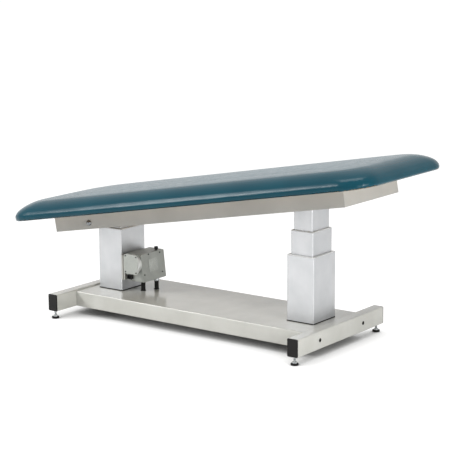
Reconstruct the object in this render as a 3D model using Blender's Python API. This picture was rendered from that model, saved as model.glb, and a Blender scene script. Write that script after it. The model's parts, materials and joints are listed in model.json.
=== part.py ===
import math

import bmesh
import bpy

# An ultrasound examination table: a low steel base, two telescopic lift columns that
# rise together, and an upholstered top that tilts as the right column moves to a
# different height. Sizes are in metres, the floor is at z = 0, +X is towards the
# raised end and +Y is away from the side with the pump motor's end bell.

# Gaps between pieces.
SEAT_GAP = 0.0003  # pieces that sit on each other
RUN_GAP = 0.0005  # pieces that slide or turn on each other

# Base frame.
BASE_CENTRE_X = -0.0256  # puts the whole table's middle over the origin
BASE_LENGTH = 1.349  # over the outer faces of the two foot tubes
FOOT_TUBE_LENGTH = 0.662
FOOT_TUBE_WIDTH = 0.0508
FOOT_TUBE_HEIGHT = 0.0762
FOOT_TUBE_WALL = 0.003
FOOT_TUBE_CORNER = 0.005
FOOT_TUBE_UNDERSIDE = 0.036
END_CAP_HEAD = 0.004
END_CAP_PLUG = 0.005
END_CAP_EDGE = 0.0012
ACCESS_HOLE_RADIUS = 0.0085
BASE_RAIL_CLEARANCE = 0.0145  # between each rail and the platform's skirt
BASE_RAIL_WIDTH = 0.040
BASE_RAIL_HEIGHT = 0.046
BASE_RAIL_WALL = 0.003
RAIL_BOLT_RADIUS = 0.0045
PLATFORM_WIDTH = 0.409
PLATFORM_TOP = 0.106
PLATFORM_SHEET = 0.002
PLATFORM_BEND = 0.004
PLATFORM_UNDERSIDE = 0.038
COLUMN_PLATE_LENGTH = 0.200
COLUMN_PLATE_THICKNESS = 0.006

# Levelling feet.
FOOT_PAD_RADIUS = 0.0165
FOOT_PAD_HEIGHT = 0.009
FOOT_PAD_EDGE = 0.0023
FOOT_CONE_HEIGHT = 0.008
FOOT_CONE_SHOULDER = (0.0102, 0.0048)  # radius, and height above the pad
FOOT_STUD_RADIUS = 0.005
FOOT_STUD_INSERT = 0.028  # stud length inside the tube
FOOT_COLLAR_RADIUS = 0.008
FOOT_COLLAR_HEIGHT = 0.005
FOOT_FROM_TUBE_END = 0.0175
FOOT_BOSS_RADIUS = 0.008
FOOT_BOSS_HEIGHT = 0.010

# Telescopic columns.
COLUMN_SPACING = 1.038
OUTER_SIZE = (0.134, 0.168)
MIDDLE_SIZE = (0.110, 0.147)
INNER_SIZE = (0.092, 0.132)
COLUMN_WALL = 0.0035
COLUMN_CORNER = 0.004
OUTER_TOP = 0.389
MIDDLE_PROUD = 0.005  # middle tube above the outer one when the column is down
INNER_PROUD = 0.003  # inner tube above the middle one when the column is down
MIDDLE_LENGTH = 0.268
INNER_LENGTH = 0.258
RIGHT_STAGE_LIFT = 0.095  # how far each stage of the right column is out
GASKET_THICKNESS = 0.003
GASKET_MARGIN = 0.0015
GUIDE_DEPTH = 0.022
GUIDE_LIP = 0.003
GUIDE_LIP_CHAMFER = 0.0015

# Hydraulic ram inside each column.
RAM_FLANGE_THICKNESS = 0.010
RAM_BARREL_RADIUS = 0.026
RAM_SLEEVE_RADIUS = 0.021
RAM_ROD_RADIUS = 0.016
RAM_BARREL_LENGTH = 0.245
RAM_SLEEVE_LENGTH = 0.245
RAM_FOOT_GAP = 0.004  # between a stage's lower end and what is below it when down
RAM_PORT_RADIUS = 0.007
RAM_PORT_LENGTH = 0.024

# Column heads.
HEAD_PLATE = 0.006
HEAD_LENGTH = 0.086
HEAD_WIDTH = 0.128
EAR_INSIDE = 0.044  # from the middle to the inner face of an ear
EAR_THICKNESS = 0.010
EAR_ABOVE_AXIS = 0.016
AXIS_ABOVE_HEAD = 0.0235  # joint axis above the head plate

# Tilt axle and its bushes.
AXLE_OFFSET = -0.0125  # axle from the left column's middle
AXLE_RADIUS = 0.008
AXLE_CAP_RADIUS = 0.0125
AXLE_CAP_HEIGHT = 0.011
BUSH_WALL = 0.002
BUSH_FLANGE = 0.003
BUSH_FLANGE_THICKNESS = 0.002

# Rollers on the right head and the guide that they run in.
ROLLER_RADIUS = 0.012
ROLLER_WIDTH = 0.010
ROLLER_TUBE_HALF = 0.0745  # half the length of the tube that holds the roller pin
ROLLER_TUBE_RADIUS = 0.011
ROLLER_PIN_RADIUS = 0.006
ROLLER_PIN_HEAD = 0.009
ROLLER_PIN_HEAD_THICKNESS = 0.003
GUIDE_PLAY = 0.002  # above and below each roller
GUIDE_TRAVEL = 0.060  # free run of the rollers along the guide
GUIDE_EDGE = 0.004  # metal below the guide slot
GUIDE_END = 0.010  # metal past each end of the slot
GUIDE_LEG_THICKNESS = 0.005
GUIDE_PLATE_THICKNESS = 0.005

# Tilting top.
TOP_END_OVERHANG = 0.1815  # cushion past the frame at each end
TOP_SIDE_OVERHANG = 0.134  # cushion past the frame at each side
APRON_HEIGHT = 0.0762
APRON_FLANGE = 0.030
APRON_SHEET = 0.0025
AXLE_FROM_FRAME_END = 0.2056
AXLE_ABOVE_FRAME = 0.0286
DECK_THICKNESS = 0.018
DECK_MARGIN = 0.007  # upholstery wrapped round the deck's edge
CUSHION_LENGTH = 1.930
CUSHION_WIDTH = 0.686
CUSHION_CORNER = 0.115
CUSHION_HEIGHT = 0.083
CUSHION_CROWN = 0.004
CUSHION_DRAW_IN = 0.002
CUSHION_ROLL = 0.0767  # how far in the rolled edge reaches
CUSHION_ROLL_SOFTNESS = 1.63  # 1 rolls over like an ellipse, more falls away sooner
CUSHION_CORNER_GROWTH = 0.15  # added to the corners' radius further in, as a share of the inset
CUSHION_BULGE = 0.021  # height of the widest line above the underside
CUSHION_HEM_IN = 0.0032  # the underside's outer edge, in from the widest line
CUSHION_SIDE_IN = 0.0010  # the side's turn over the hem, in from the widest line
CUSHION_SIDE_HEIGHT = 0.0074
CUSHION_CORNER_SHARE = 0.4  # largest corner of an inner ring, as a share of its width
CUSHION_CROWN_SHARE = 0.46  # reach of the crown's last ring, as a share of the width
CUSHION_SPLITS = (8, 4)  # pieces of each long side and each short side

# Pump unit on the left column.
BRACKET_HALF_WIDTH = 0.084
BRACKET_DEPTH = 0.0215
BRACKET_BACK_PLATE = 0.0062  # thickness of the plate on the column
BRACKET_FRONT_PLATE = 0.0050
BRACKET_SLOT = 0.0050  # gap between the two plates, open at both sides
BRACKET_SLOT_DEPTH = 0.024
BRACKET_WALL = 0.003  # wall of the box that joins the plates
BRACKET_BOTTOM = 0.160
BRACKET_TOP = 0.274
HOUSING_NEAR_Y = -0.075
HOUSING_FAR_Y = 0.091
HOUSING_BOTTOM = 0.158
HOUSING_TOP = 0.284
HOUSING_REACH_BOTTOM = 0.113  # column face to the cover's seat, at the bottom
HOUSING_REACH_TOP = 0.099
HOUSING_WALL = 0.004
HOUSING_ROUND = 0.003
MOTOR_REACH = 0.067
MOTOR_HEIGHT = 0.240
MOTOR_RADIUS = 0.036
MOTOR_LENGTH = 0.120
BELL_RADIUS = 0.0445
BELL_DEPTH = 0.020
BELL_ROUND = 0.003
END_PLATE_SIZE = (0.080, 0.090)
END_PLATE_THICKNESS = 0.004
END_PLATE_CORNER = 0.011
END_PLATE_REACH = 0.0635  # column face to the end plate's middle
COVER_THICKNESS = 0.005
COVER_CORNER = 0.005
COVER_PAD_WIDTH = 0.062
COVER_PAD_HEIGHT = 0.056
COVER_PAD_RISE = 0.0012
COVER_PAD_Y = 0.006
COVER_PAD_Z = 0.070
FILLER_REACH = 0.086
FILLER_Y = 0.060
FILLER_RADIUS = 0.009
FILLER_HEIGHT = 0.015
FILLER_EDGE = 0.002
FILLER_NECK_RADIUS = 0.0068
FILLER_NECK_HEIGHT = 0.0045
INLET_REACH = 0.046
INLET_HEIGHT = 0.178
INLET_WIDTH = 0.028
INLET_TALL = 0.022
INLET_DEPTH = 0.010
INLET_RIM = 0.004
HOSE_RADIUS = 0.010
HOSE_BEND = 0.030
HOSE_LEVEL = 0.052  # height of the hoses' level run under the platform
LEFT_HOSE_REACH = 0.072
LEFT_HOSE_Y = -0.019
RIGHT_HOSE_REACH = 0.102
RIGHT_HOSE_Y = 0.040

# Smoothness of round shapes.
ROUND_STEPS = 16
LARGE_ROUND_STEPS = 32
CORNER_STEPS = 3
DOME_STEPS = 6
HOSE_ROUND_STEPS = 4
CUSHION_CORNER_STEPS = 7
CUSHION_ROLL_STEPS = 7
CUSHION_CROWN_STEPS = 4
SHARP_ANGLE = math.radians(35)

# Turns that stand a shape built along Z on another axis.
UPRIGHT = (0.0, 0.0, 0.0)
ALONG_X = (math.pi / 2, 0.0, math.pi / 2)
ALONG_Y = (-math.pi / 2, 0.0, 0.0)
FACING_NEAR = (math.pi / 2, 0.0, 0.0)


def linear(channel):
    if channel <= 0.04045:
        return channel / 12.92
    return ((channel + 0.055) / 1.055) ** 2.4


def make_material(name, colour, roughness, metallic=0.0):
    material = bpy.data.materials.new(name)
    material.use_nodes = True
    shader = material.node_tree.nodes["Principled BSDF"]
    channels = [int(colour[i : i + 2], 16) / 255 for i in (0, 2, 4)]
    rgba = [linear(channel) for channel in channels] + [1.0]
    shader.inputs["Base Color"].default_value = rgba
    shader.inputs["Roughness"].default_value = roughness
    shader.inputs["Metallic"].default_value = metallic
    material.diffuse_color = rgba
    material.roughness = roughness
    material.metallic = metallic
    return material


def make_frame(name, parent=None, location=(0, 0, 0), turn=UPRIGHT):
    frame = bpy.data.objects.new(name, None)
    frame.parent = parent
    frame.location = location
    frame.rotation_euler = turn
    bpy.context.scene.collection.objects.link(frame)
    return frame


def make_object(name, bm, material, parent, location=(0, 0, 0), turn=UPRIGHT):
    bmesh.ops.recalc_face_normals(bm, faces=bm.faces[:])
    mesh = bpy.data.meshes.new(name)
    bm.to_mesh(mesh)
    bm.free()
    if material:
        mesh.materials.append(material)
    mesh.shade_smooth()
    mesh.set_sharp_from_angle(angle=SHARP_ANGLE)
    obj = bpy.data.objects.new(name, mesh)
    obj.parent = parent
    obj.location = location
    obj.rotation_euler = turn
    bpy.context.scene.collection.objects.link(obj)
    return obj


def combine(target, operation, name, bm, parent, location=(0, 0, 0), turn=UPRIGHT):
    """Cuts the shape from the target, or joins it to the target, with a hidden helper."""
    helper = make_object(name, bm, None, parent, location, turn)
    helper.hide_render = True
    helper.display_type = "WIRE"
    modifier = target.modifiers.new(name, "BOOLEAN")
    modifier.operation = operation
    modifier.solver = "EXACT"
    modifier.object = helper


def circle(radius, steps=ROUND_STEPS):
    turns = [2 * math.pi * i / steps for i in range(steps)]
    return [(radius * math.cos(a), radius * math.sin(a)) for a in turns]


def rounded_rectangle(width, depth, radius, steps=CORNER_STEPS, splits=(1, 1)):
    """An anticlockwise outline. splits is how many pieces each X side and Y side has."""
    half = (width / 2 - radius, depth / 2 - radius)
    corners = ((1, 1), (-1, 1), (-1, -1), (1, -1))
    points = []
    for index, (sx, sy) in enumerate(corners):
        for step in range(steps + 1):
            angle = math.pi / 2 * (index + step / steps)
            x = sx * half[0] + radius * math.cos(angle)
            y = sy * half[1] + radius * math.sin(angle)
            points.append((x, y))
        ax, ay = points[-1]
        nx, ny = corners[(index + 1) % 4]
        pieces = splits[index % 2]
        for piece in range(1, pieces):
            part = piece / pieces
            if index % 2 == 0:
                points.append((ax + (nx * half[0] - ax) * part, ay))
            else:
                points.append((ax, ay + (ny * half[1] - ay) * part))
    return points


def inset_size(size, inset):
    return (size[0] - 2 * inset, size[1] - 2 * inset)


def loft(sections, ring=False):
    """Joins (outline, height) sections in order. A ring also joins the last to the first."""
    bm = bmesh.new()
    loops = []
    for outline, height in sections:
        loops.append([bm.verts.new((x, y, height)) for x, y in outline])
    pairs = list(zip(loops, loops[1:]))
    if ring:
        pairs.append((loops[-1], loops[0]))
    else:
        bm.faces.new(loops[0][::-1])
        bm.faces.new(loops[-1])
    for lower, upper in pairs:
        count = len(lower)
        for i in range(count):
            j = (i + 1) % count
            bm.faces.new((lower[i], lower[j], upper[j], upper[i]))
    return bm


def prisms(outlines, low, high):
    """Separate upright prisms in one mesh, used together as one cutter."""
    bm = bmesh.new()
    for outline in outlines:
        face = bm.faces.new([bm.verts.new((x, y, low)) for x, y in outline])
        grown = bmesh.ops.extrude_face_region(bm, geom=[face])["geom"]
        points = [part for part in grown if isinstance(part, bmesh.types.BMVert)]
        bmesh.ops.translate(bm, verts=points, vec=(0, 0, high - low))
    return bm


def prism(outline, low, high):
    return prisms([outline], low, high)


def rods(places, radius, low, high, steps=ROUND_STEPS):
    outlines = []
    for x, y in places:
        outlines.append([(x + dx, y + dy) for dx, dy in circle(radius, steps)])
    return prisms(outlines, low, high)


def tube(outer, inner, low, high):
    return loft([(outer, low), (outer, high), (inner, high), (inner, low)], ring=True)


def turned(profile, steps=ROUND_STEPS):
    """A solid of (radius, height) rings, from its lower end to its upper one."""
    return loft([(circle(radius, steps), height) for radius, height in profile])


for old in list(bpy.data.objects):
    bpy.data.objects.remove(old, do_unlink=True)

painted_steel = make_material("painted steel", "CFCFC9", 0.35)
shaded_paint = make_material("painted apron steel", "C6C4BE", 0.38)
bright_metal = make_material("anodised aluminium", "D9DADB", 0.32, 0.6)
black_plastic = make_material("black plastic", "242423", 0.45)
black_rubber = make_material("black rubber", "1B1B1B", 0.7)
bare_steel = make_material("bare steel", "8E9092", 0.4, 1.0)
chrome = make_material("chrome", "D8D8D8", 0.12, 1.0)
bronze = make_material("sintered bronze", "9A7A4A", 0.5, 0.9)
slide_plastic = make_material("slide plastic", "D2D3D2", 0.5)
cast_metal = make_material("painted casting", "9BA09A", 0.42, 0.2)
plywood = make_material("plywood", "B89A6B", 0.7)
vinyl = make_material("teal vinyl", "1F5669", 0.42)

tilt = math.atan2(2 * RIGHT_STAGE_LIFT, COLUMN_SPACING - AXLE_OFFSET)
tilt_run = math.hypot(2 * RIGHT_STAGE_LIFT, COLUMN_SPACING - AXLE_OFFSET)

base = make_frame("base_frame", location=(BASE_CENTRE_X, 0, 0))

# Foot tubes with a cap in each end and a threaded boss over each levelling foot.
foot_x = BASE_LENGTH / 2 - FOOT_TUBE_WIDTH / 2
foot_middle_z = FOOT_TUBE_UNDERSIDE + FOOT_TUBE_HEIGHT / 2
foot_stud_y = FOOT_TUBE_LENGTH / 2 + END_CAP_HEAD - FOOT_FROM_TUBE_END
foot_outer = (FOOT_TUBE_WIDTH, FOOT_TUBE_HEIGHT)
foot_inner = inset_size(foot_outer, FOOT_TUBE_WALL)
foot_inner_corner = FOOT_TUBE_CORNER - FOOT_TUBE_WALL
cap_plug = inset_size(foot_inner, SEAT_GAP)
cap_face = inset_size(foot_outer, END_CAP_EDGE)
stud_top = FOOT_TUBE_UNDERSIDE + FOOT_STUD_INSERT
collar_top = FOOT_TUBE_UNDERSIDE - SEAT_GAP
collar_low = collar_top - FOOT_COLLAR_HEIGHT
boss_low = FOOT_TUBE_UNDERSIDE + FOOT_TUBE_WALL / 2
boss_high = FOOT_TUBE_UNDERSIDE + FOOT_TUBE_WALL + FOOT_BOSS_HEIGHT
skirt_inside_y = PLATFORM_WIDTH / 2 - PLATFORM_SHEET
rail_plane_y = skirt_inside_y - BASE_RAIL_CLEARANCE - BASE_RAIL_WIDTH / 2

cone_radius, cone_rise = FOOT_CONE_SHOULDER
foot_profile = [
    (FOOT_PAD_RADIUS - FOOT_PAD_EDGE, 0.0),
    (FOOT_PAD_RADIUS, FOOT_PAD_EDGE),
    (FOOT_PAD_RADIUS, FOOT_PAD_HEIGHT - FOOT_PAD_EDGE),
    (FOOT_PAD_RADIUS - FOOT_PAD_EDGE, FOOT_PAD_HEIGHT),
    (cone_radius, FOOT_PAD_HEIGHT + cone_rise),
    (FOOT_STUD_RADIUS, FOOT_PAD_HEIGHT + FOOT_CONE_HEIGHT),
    (FOOT_STUD_RADIUS, collar_low),
    (FOOT_COLLAR_RADIUS, collar_low),
    (FOOT_COLLAR_RADIUS, collar_top),
    (FOOT_STUD_RADIUS, collar_top),
    (FOOT_STUD_RADIUS, stud_top),
]

for side, outward in (("left", -1), ("right", 1)):
    foot = make_frame(f"{side}_foot_frame", base, (outward * foot_x, 0, foot_middle_z))
    foot_tube = make_object(
        f"{side}_foot_tube",
        tube(
            rounded_rectangle(*foot_outer, FOOT_TUBE_CORNER),
            rounded_rectangle(*foot_inner, foot_inner_corner),
            -FOOT_TUBE_LENGTH / 2,
            FOOT_TUBE_LENGTH / 2,
        ),
        painted_steel,
        foot,
        turn=ALONG_Y,
    )
    stud_places = [(0, -foot_stud_y), (0, foot_stud_y)]
    combine(
        foot_tube,
        "UNION",
        f"{side}_foot_bosses",
        rods(stud_places, FOOT_BOSS_RADIUS, boss_low, boss_high),
        base,
        (outward * foot_x, 0, 0),
    )
    stud_hole = FOOT_STUD_RADIUS + RUN_GAP
    combine(
        foot_tube,
        "DIFFERENCE",
        f"{side}_stud_holes",
        rods(stud_places, stud_hole, 0, boss_high + FOOT_TUBE_WALL),
        base,
        (outward * foot_x, 0, 0),
    )
    bolt_places = [(-rail_plane_y, 0), (rail_plane_y, 0)]
    near = FOOT_TUBE_WIDTH / 2 - 2 * FOOT_TUBE_WALL
    far = FOOT_TUBE_WIDTH / 2 + FOOT_TUBE_WALL
    access = rods(bolt_places, ACCESS_HOLE_RADIUS, near, far)
    combine(
        foot_tube,
        "DIFFERENCE",
        f"{side}_access_holes",
        access,
        foot,
        turn=(math.pi / 2, 0, outward * math.pi / 2),
    )
    bolt_holes = rods(bolt_places, RAIL_BOLT_RADIUS, near, far)
    combine(
        foot_tube,
        "DIFFERENCE",
        f"{side}_bolt_holes",
        bolt_holes,
        foot,
        turn=(math.pi / 2, 0, -outward * math.pi / 2),
    )
    plug_outline = rounded_rectangle(*cap_plug, foot_inner_corner)
    rim_outline = rounded_rectangle(*foot_outer, FOOT_TUBE_CORNER)
    face_outline = rounded_rectangle(*cap_face, FOOT_TUBE_CORNER - END_CAP_EDGE)
    cap_top = SEAT_GAP + END_CAP_HEAD
    cap_sections = [
        (plug_outline, -END_CAP_PLUG),
        (plug_outline, SEAT_GAP),
        (rim_outline, SEAT_GAP),
        (rim_outline, cap_top - END_CAP_EDGE),
        (face_outline, cap_top),
    ]
    for place, away in (("front", -1), ("rear", 1)):
        make_object(
            f"{side}_{place}_end_cap",
            loft(cap_sections),
            black_plastic,
            foot,
            (0, away * FOOT_TUBE_LENGTH / 2, 0),
            (-away * math.pi / 2, 0, 0),
        )
        make_object(
            f"{side}_{place}_levelling_foot",
            turned(foot_profile),
            black_plastic,
            base,
            (outward * foot_x, away * foot_stud_y, 0),
        )

# Rails and platform between the foot tubes.
platform_half = BASE_LENGTH / 2 - FOOT_TUBE_WIDTH - SEAT_GAP
plate_top = PLATFORM_TOP - PLATFORM_SHEET - SEAT_GAP
plate_low = plate_top - COLUMN_PLATE_THICKNESS
rail_middle_z = plate_low - SEAT_GAP - BASE_RAIL_HEIGHT / 2
rail_outer = (BASE_RAIL_WIDTH, BASE_RAIL_HEIGHT)
rail_inner = inset_size(rail_outer, BASE_RAIL_WALL)
for place, away in (("front", -1), ("rear", 1)):
    make_object(
        f"{place}_base_rail",
        tube(
            rounded_rectangle(*rail_outer, FOOT_TUBE_CORNER),
            rounded_rectangle(*rail_inner, foot_inner_corner),
            -platform_half,
            platform_half,
        ),
        painted_steel,
        base,
        (0, away * rail_plane_y, rail_middle_z),
        ALONG_X,
    )


def bent_sheet(half_width, low, high, sheet, bend):
    """The cross-section of a sheet folded down at both sides, round at its bends."""
    outside = []
    inside = []
    for sign in (1, -1):
        outer_arc = []
        inner_arc = []
        for step in range(CORNER_STEPS + 1):
            angle = math.pi / 2 * step / CORNER_STEPS
            y = half_width - bend
            z = high - bend
            across = math.cos(angle)
            up = math.sin(angle)
            outer_arc.append((sign * (y + bend * across), z + bend * up))
            reach = bend - sheet
            inner_arc.append((sign * (y + reach * across), z + reach * up))
        foot_outside = (sign * half_width, low)
        foot_inside = (sign * (half_width - sheet), low)
        if sign > 0:
            outside += [foot_outside] + outer_arc
            inside = [foot_inside] + inner_arc + inside
        else:
            outside += outer_arc[::-1] + [foot_outside]
            inside = inside + inner_arc[::-1] + [foot_inside]
    return outside + inside[::-1]


platform = make_object(
    "platform_cover",
    prism(
        bent_sheet(
            PLATFORM_WIDTH / 2,
            PLATFORM_UNDERSIDE,
            PLATFORM_TOP,
            PLATFORM_SHEET,
            PLATFORM_BEND,
        ),
        -platform_half,
        platform_half,
    ),
    painted_steel,
    base,
    turn=ALONG_X,
)
column_x = COLUMN_SPACING / 2
column_face_x = -column_x + OUTER_SIZE[0] / 2
left_hose_x = column_face_x + LEFT_HOSE_REACH
right_hose_x = column_face_x + RIGHT_HOSE_REACH
port_places = [(-column_x, 0), (column_x, 0)]
combine(
    platform,
    "DIFFERENCE",
    "platform_port_holes",
    rods(port_places, RAM_PORT_RADIUS + RUN_GAP, plate_low, PLATFORM_TOP * 2),
    base,
)
hose_places = [(left_hose_x, LEFT_HOSE_Y), (right_hose_x, RIGHT_HOSE_Y)]
combine(
    platform,
    "DIFFERENCE",
    "platform_hose_holes",
    rods(hose_places, HOSE_RADIUS + RUN_GAP, plate_low, PLATFORM_TOP * 2),
    base,
)

# Columns: nested tubes with plastic guides and a telescopic ram inside.
gasket_low = PLATFORM_TOP + SEAT_GAP
outer_low = gasket_low + GASKET_THICKNESS + SEAT_GAP
flange_top = outer_low + RAM_FLANGE_THICKNESS
flange_middle = outer_low + RAM_FLANGE_THICKNESS / 2
port_low = outer_low - RAM_PORT_LENGTH
barrel_top = flange_top + RAM_BARREL_LENGTH
sleeve_low = flange_top + RAM_FOOT_GAP
sleeve_top = sleeve_low + RAM_SLEEVE_LENGTH
rod_low = sleeve_low + RAM_FOOT_GAP
outer_inside = inset_size(OUTER_SIZE, COLUMN_WALL)
middle_inside = inset_size(MIDDLE_SIZE, COLUMN_WALL)
inner_inside = inset_size(INNER_SIZE, COLUMN_WALL)
inner_corner = COLUMN_CORNER / 2
guide_low = OUTER_TOP - GUIDE_DEPTH
lip_low = OUTER_TOP + SEAT_GAP
middle_top = lip_low + GUIDE_LIP + MIDDLE_PROUD
middle_low = middle_top - MIDDLE_LENGTH
middle_lip_low = middle_top + SEAT_GAP
inner_top = middle_lip_low + GUIDE_LIP + INNER_PROUD
inner_low = inner_top - INNER_LENGTH
head_low = inner_top + SEAT_GAP
head_top = head_low + HEAD_PLATE
axis_z = head_top + AXIS_ABOVE_HEAD
ear_top = axis_z + EAR_ABOVE_AXIS
ear_outside = EAR_INSIDE + EAR_THICKNESS
barrel_bore = RAM_SLEEVE_RADIUS + RUN_GAP
sleeve_bore = RAM_ROD_RADIUS + RUN_GAP
bush_radius = AXLE_RADIUS + RUN_GAP + BUSH_WALL
bush_hole = bush_radius + SEAT_GAP


def guide_ring(hole_size, seat_size, lip_size, low, seat, lip):
    """A collar in a tube's mouth: a sleeve below, and a chamfered lip over the tube's rim."""
    chamfered = inset_size(lip_size, GUIDE_LIP_CHAMFER)
    hole = rounded_rectangle(*hole_size, COLUMN_CORNER)
    body = rounded_rectangle(*inset_size(seat_size, SEAT_GAP), inner_corner)
    lip_outline = rounded_rectangle(*lip_size, COLUMN_CORNER)
    lip_face = rounded_rectangle(*chamfered, COLUMN_CORNER - GUIDE_LIP_CHAMFER)
    return loft(
        [
            (hole, low),
            (body, low),
            (body, seat),
            (lip_outline, seat),
            (lip_outline, seat + lip - GUIDE_LIP_CHAMFER),
            (lip_face, seat + lip),
            (hole, seat + lip),
        ],
        ring=True,
    )


def head_outline():
    """The head's cross-section: a plate with two ears standing on it."""
    half = HEAD_WIDTH / 2
    return [
        (-half, head_low),
        (half, head_low),
        (half, head_top),
        (ear_outside, head_top),
        (ear_outside, ear_top),
        (EAR_INSIDE, ear_top),
        (EAR_INSIDE, head_top),
        (-EAR_INSIDE, head_top),
        (-EAR_INSIDE, ear_top),
        (-ear_outside, ear_top),
        (-ear_outside, head_top),
        (-half, head_top),
    ]


column_frames = {}
inner_frames = {}
for side, outward, lift in (("left", -1, 0.0), ("right", 1, RIGHT_STAGE_LIFT)):
    column = make_frame(f"{side}_column_frame", base, (outward * column_x, 0, 0))
    middle = make_frame(f"{side}_middle_frame", column, (0, 0, lift))
    inner = make_frame(f"{side}_inner_frame", middle, (0, 0, lift))
    column_frames[side] = column
    inner_frames[side] = inner
    plate_size = (COLUMN_PLATE_LENGTH, 2 * rail_plane_y + BASE_RAIL_WIDTH)
    column_plate = make_object(
        f"{side}_column_plate",
        prism(rounded_rectangle(*plate_size, FOOT_TUBE_CORNER), plate_low, plate_top),
        painted_steel,
        column,
    )
    combine(
        column_plate,
        "DIFFERENCE",
        f"{side}_plate_hole",
        rods([(0, 0)], RAM_PORT_RADIUS + RUN_GAP, 0, PLATFORM_TOP),
        column,
    )
    gasket_size = inset_size(OUTER_SIZE, -GASKET_MARGIN)
    gasket = make_object(
        f"{side}_column_gasket",
        prism(
            rounded_rectangle(*gasket_size, COLUMN_CORNER + GASKET_MARGIN),
            gasket_low,
            gasket_low + GASKET_THICKNESS,
        ),
        black_rubber,
        column,
    )
    combine(
        gasket,
        "DIFFERENCE",
        f"{side}_gasket_hole",
        rods([(0, 0)], RAM_PORT_RADIUS + RUN_GAP, 0, OUTER_TOP),
        column,
    )
    make_object(
        f"{side}_outer_column",
        tube(
            rounded_rectangle(*OUTER_SIZE, COLUMN_CORNER),
            rounded_rectangle(*outer_inside, inner_corner),
            outer_low,
            OUTER_TOP,
        ),
        bright_metal,
        column,
    )
    make_object(
        f"{side}_outer_guide",
        guide_ring(
            inset_size(MIDDLE_SIZE, -RUN_GAP),
            outer_inside,
            OUTER_SIZE,
            guide_low,
            lip_low,
            GUIDE_LIP,
        ),
        slide_plastic,
        column,
    )
    make_object(
        f"{side}_middle_column",
        tube(
            rounded_rectangle(*MIDDLE_SIZE, COLUMN_CORNER),
            rounded_rectangle(*middle_inside, inner_corner),
            middle_low,
            middle_top,
        ),
        bright_metal,
        middle,
    )
    make_object(
        f"{side}_middle_guide",
        guide_ring(
            inset_size(INNER_SIZE, -RUN_GAP),
            middle_inside,
            MIDDLE_SIZE,
            middle_top - GUIDE_DEPTH,
            middle_lip_low,
            GUIDE_LIP,
        ),
        slide_plastic,
        middle,
    )
    make_object(
        f"{side}_inner_column",
        tube(
            rounded_rectangle(*INNER_SIZE, COLUMN_CORNER),
            rounded_rectangle(*inner_inside, inner_corner),
            inner_low,
            inner_top,
        ),
        bright_metal,
        inner,
    )
    flange_size = inset_size(outer_inside, SEAT_GAP)
    barrel = make_object(
        f"{side}_ram_barrel",
        turned(
            [
                (RAM_PORT_RADIUS, port_low),
                (RAM_PORT_RADIUS, flange_middle),
                (RAM_BARREL_RADIUS, flange_middle),
                (RAM_BARREL_RADIUS, barrel_top),
                (barrel_bore, barrel_top),
                (barrel_bore, flange_top),
            ]
        ),
        bare_steel,
        column,
    )
    combine(
        barrel,
        "UNION",
        f"{side}_ram_flange",
        prism(rounded_rectangle(*flange_size, inner_corner), outer_low, flange_top),
        column,
    )
    make_object(
        f"{side}_ram_sleeve",
        tube(circle(RAM_SLEEVE_RADIUS), circle(sleeve_bore), sleeve_low, sleeve_top),
        chrome,
        middle,
    )
    make_object(
        f"{side}_ram_rod",
        turned([(RAM_ROD_RADIUS, rod_low), (RAM_ROD_RADIUS, head_low - SEAT_GAP)]),
        chrome,
        inner,
    )
    head_name = "left_pivot_head" if side == "left" else "right_roller_head"
    head = make_object(
        head_name,
        prism(head_outline(), -HEAD_LENGTH / 2, HEAD_LENGTH / 2),
        bare_steel,
        inner,
        turn=ALONG_X,
    )
    if side == "left":
        axis_x = AXLE_OFFSET
        ear_hole = bush_hole
    else:
        axis_x = 0.0
        ear_hole = ROLLER_PIN_RADIUS + SEAT_GAP
        combine(
            head,
            "UNION",
            "roller_tube",
            rods([(0, 0)], ROLLER_TUBE_RADIUS, -ROLLER_TUBE_HALF, ROLLER_TUBE_HALF),
            inner,
            (axis_x, 0, axis_z),
            ALONG_Y,
        )
    combine(
        head,
        "DIFFERENCE",
        f"{side}_ear_holes",
        rods([(0, 0)], ear_hole, -HEAD_WIDTH, HEAD_WIDTH),
        inner,
        (axis_x, 0, axis_z),
        ALONG_Y,
    )

# Rollers on a riveted pin through the right head's cross tube.
roller_frame = make_frame("roller_axis", inner_frames["right"], (0, 0, axis_z))
roller_inside = ROLLER_TUBE_HALF + RUN_GAP
roller_middle = roller_inside + ROLLER_WIDTH / 2
pin_neck = roller_inside + ROLLER_WIDTH + RUN_GAP
pin_end = pin_neck + ROLLER_PIN_HEAD_THICKNESS
make_object(
    "roller_pin",
    turned(
        [
            (ROLLER_PIN_HEAD, -pin_end),
            (ROLLER_PIN_HEAD, -pin_neck),
            (ROLLER_PIN_RADIUS, -pin_neck),
            (ROLLER_PIN_RADIUS, pin_neck),
            (ROLLER_PIN_HEAD, pin_neck),
            (ROLLER_PIN_HEAD, pin_end),
        ]
    ),
    bare_steel,
    roller_frame,
    turn=ALONG_Y,
)
for place, away in (("front", -1), ("rear", 1)):
    make_object(
        f"{place}_guide_roller",
        tube(
            circle(ROLLER_RADIUS),
            circle(ROLLER_PIN_RADIUS + RUN_GAP),
            -ROLLER_WIDTH / 2,
            ROLLER_WIDTH / 2,
        ),
        slide_plastic,
        roller_frame,
        (0, away * roller_middle, 0),
        ALONG_Y,
    )

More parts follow.
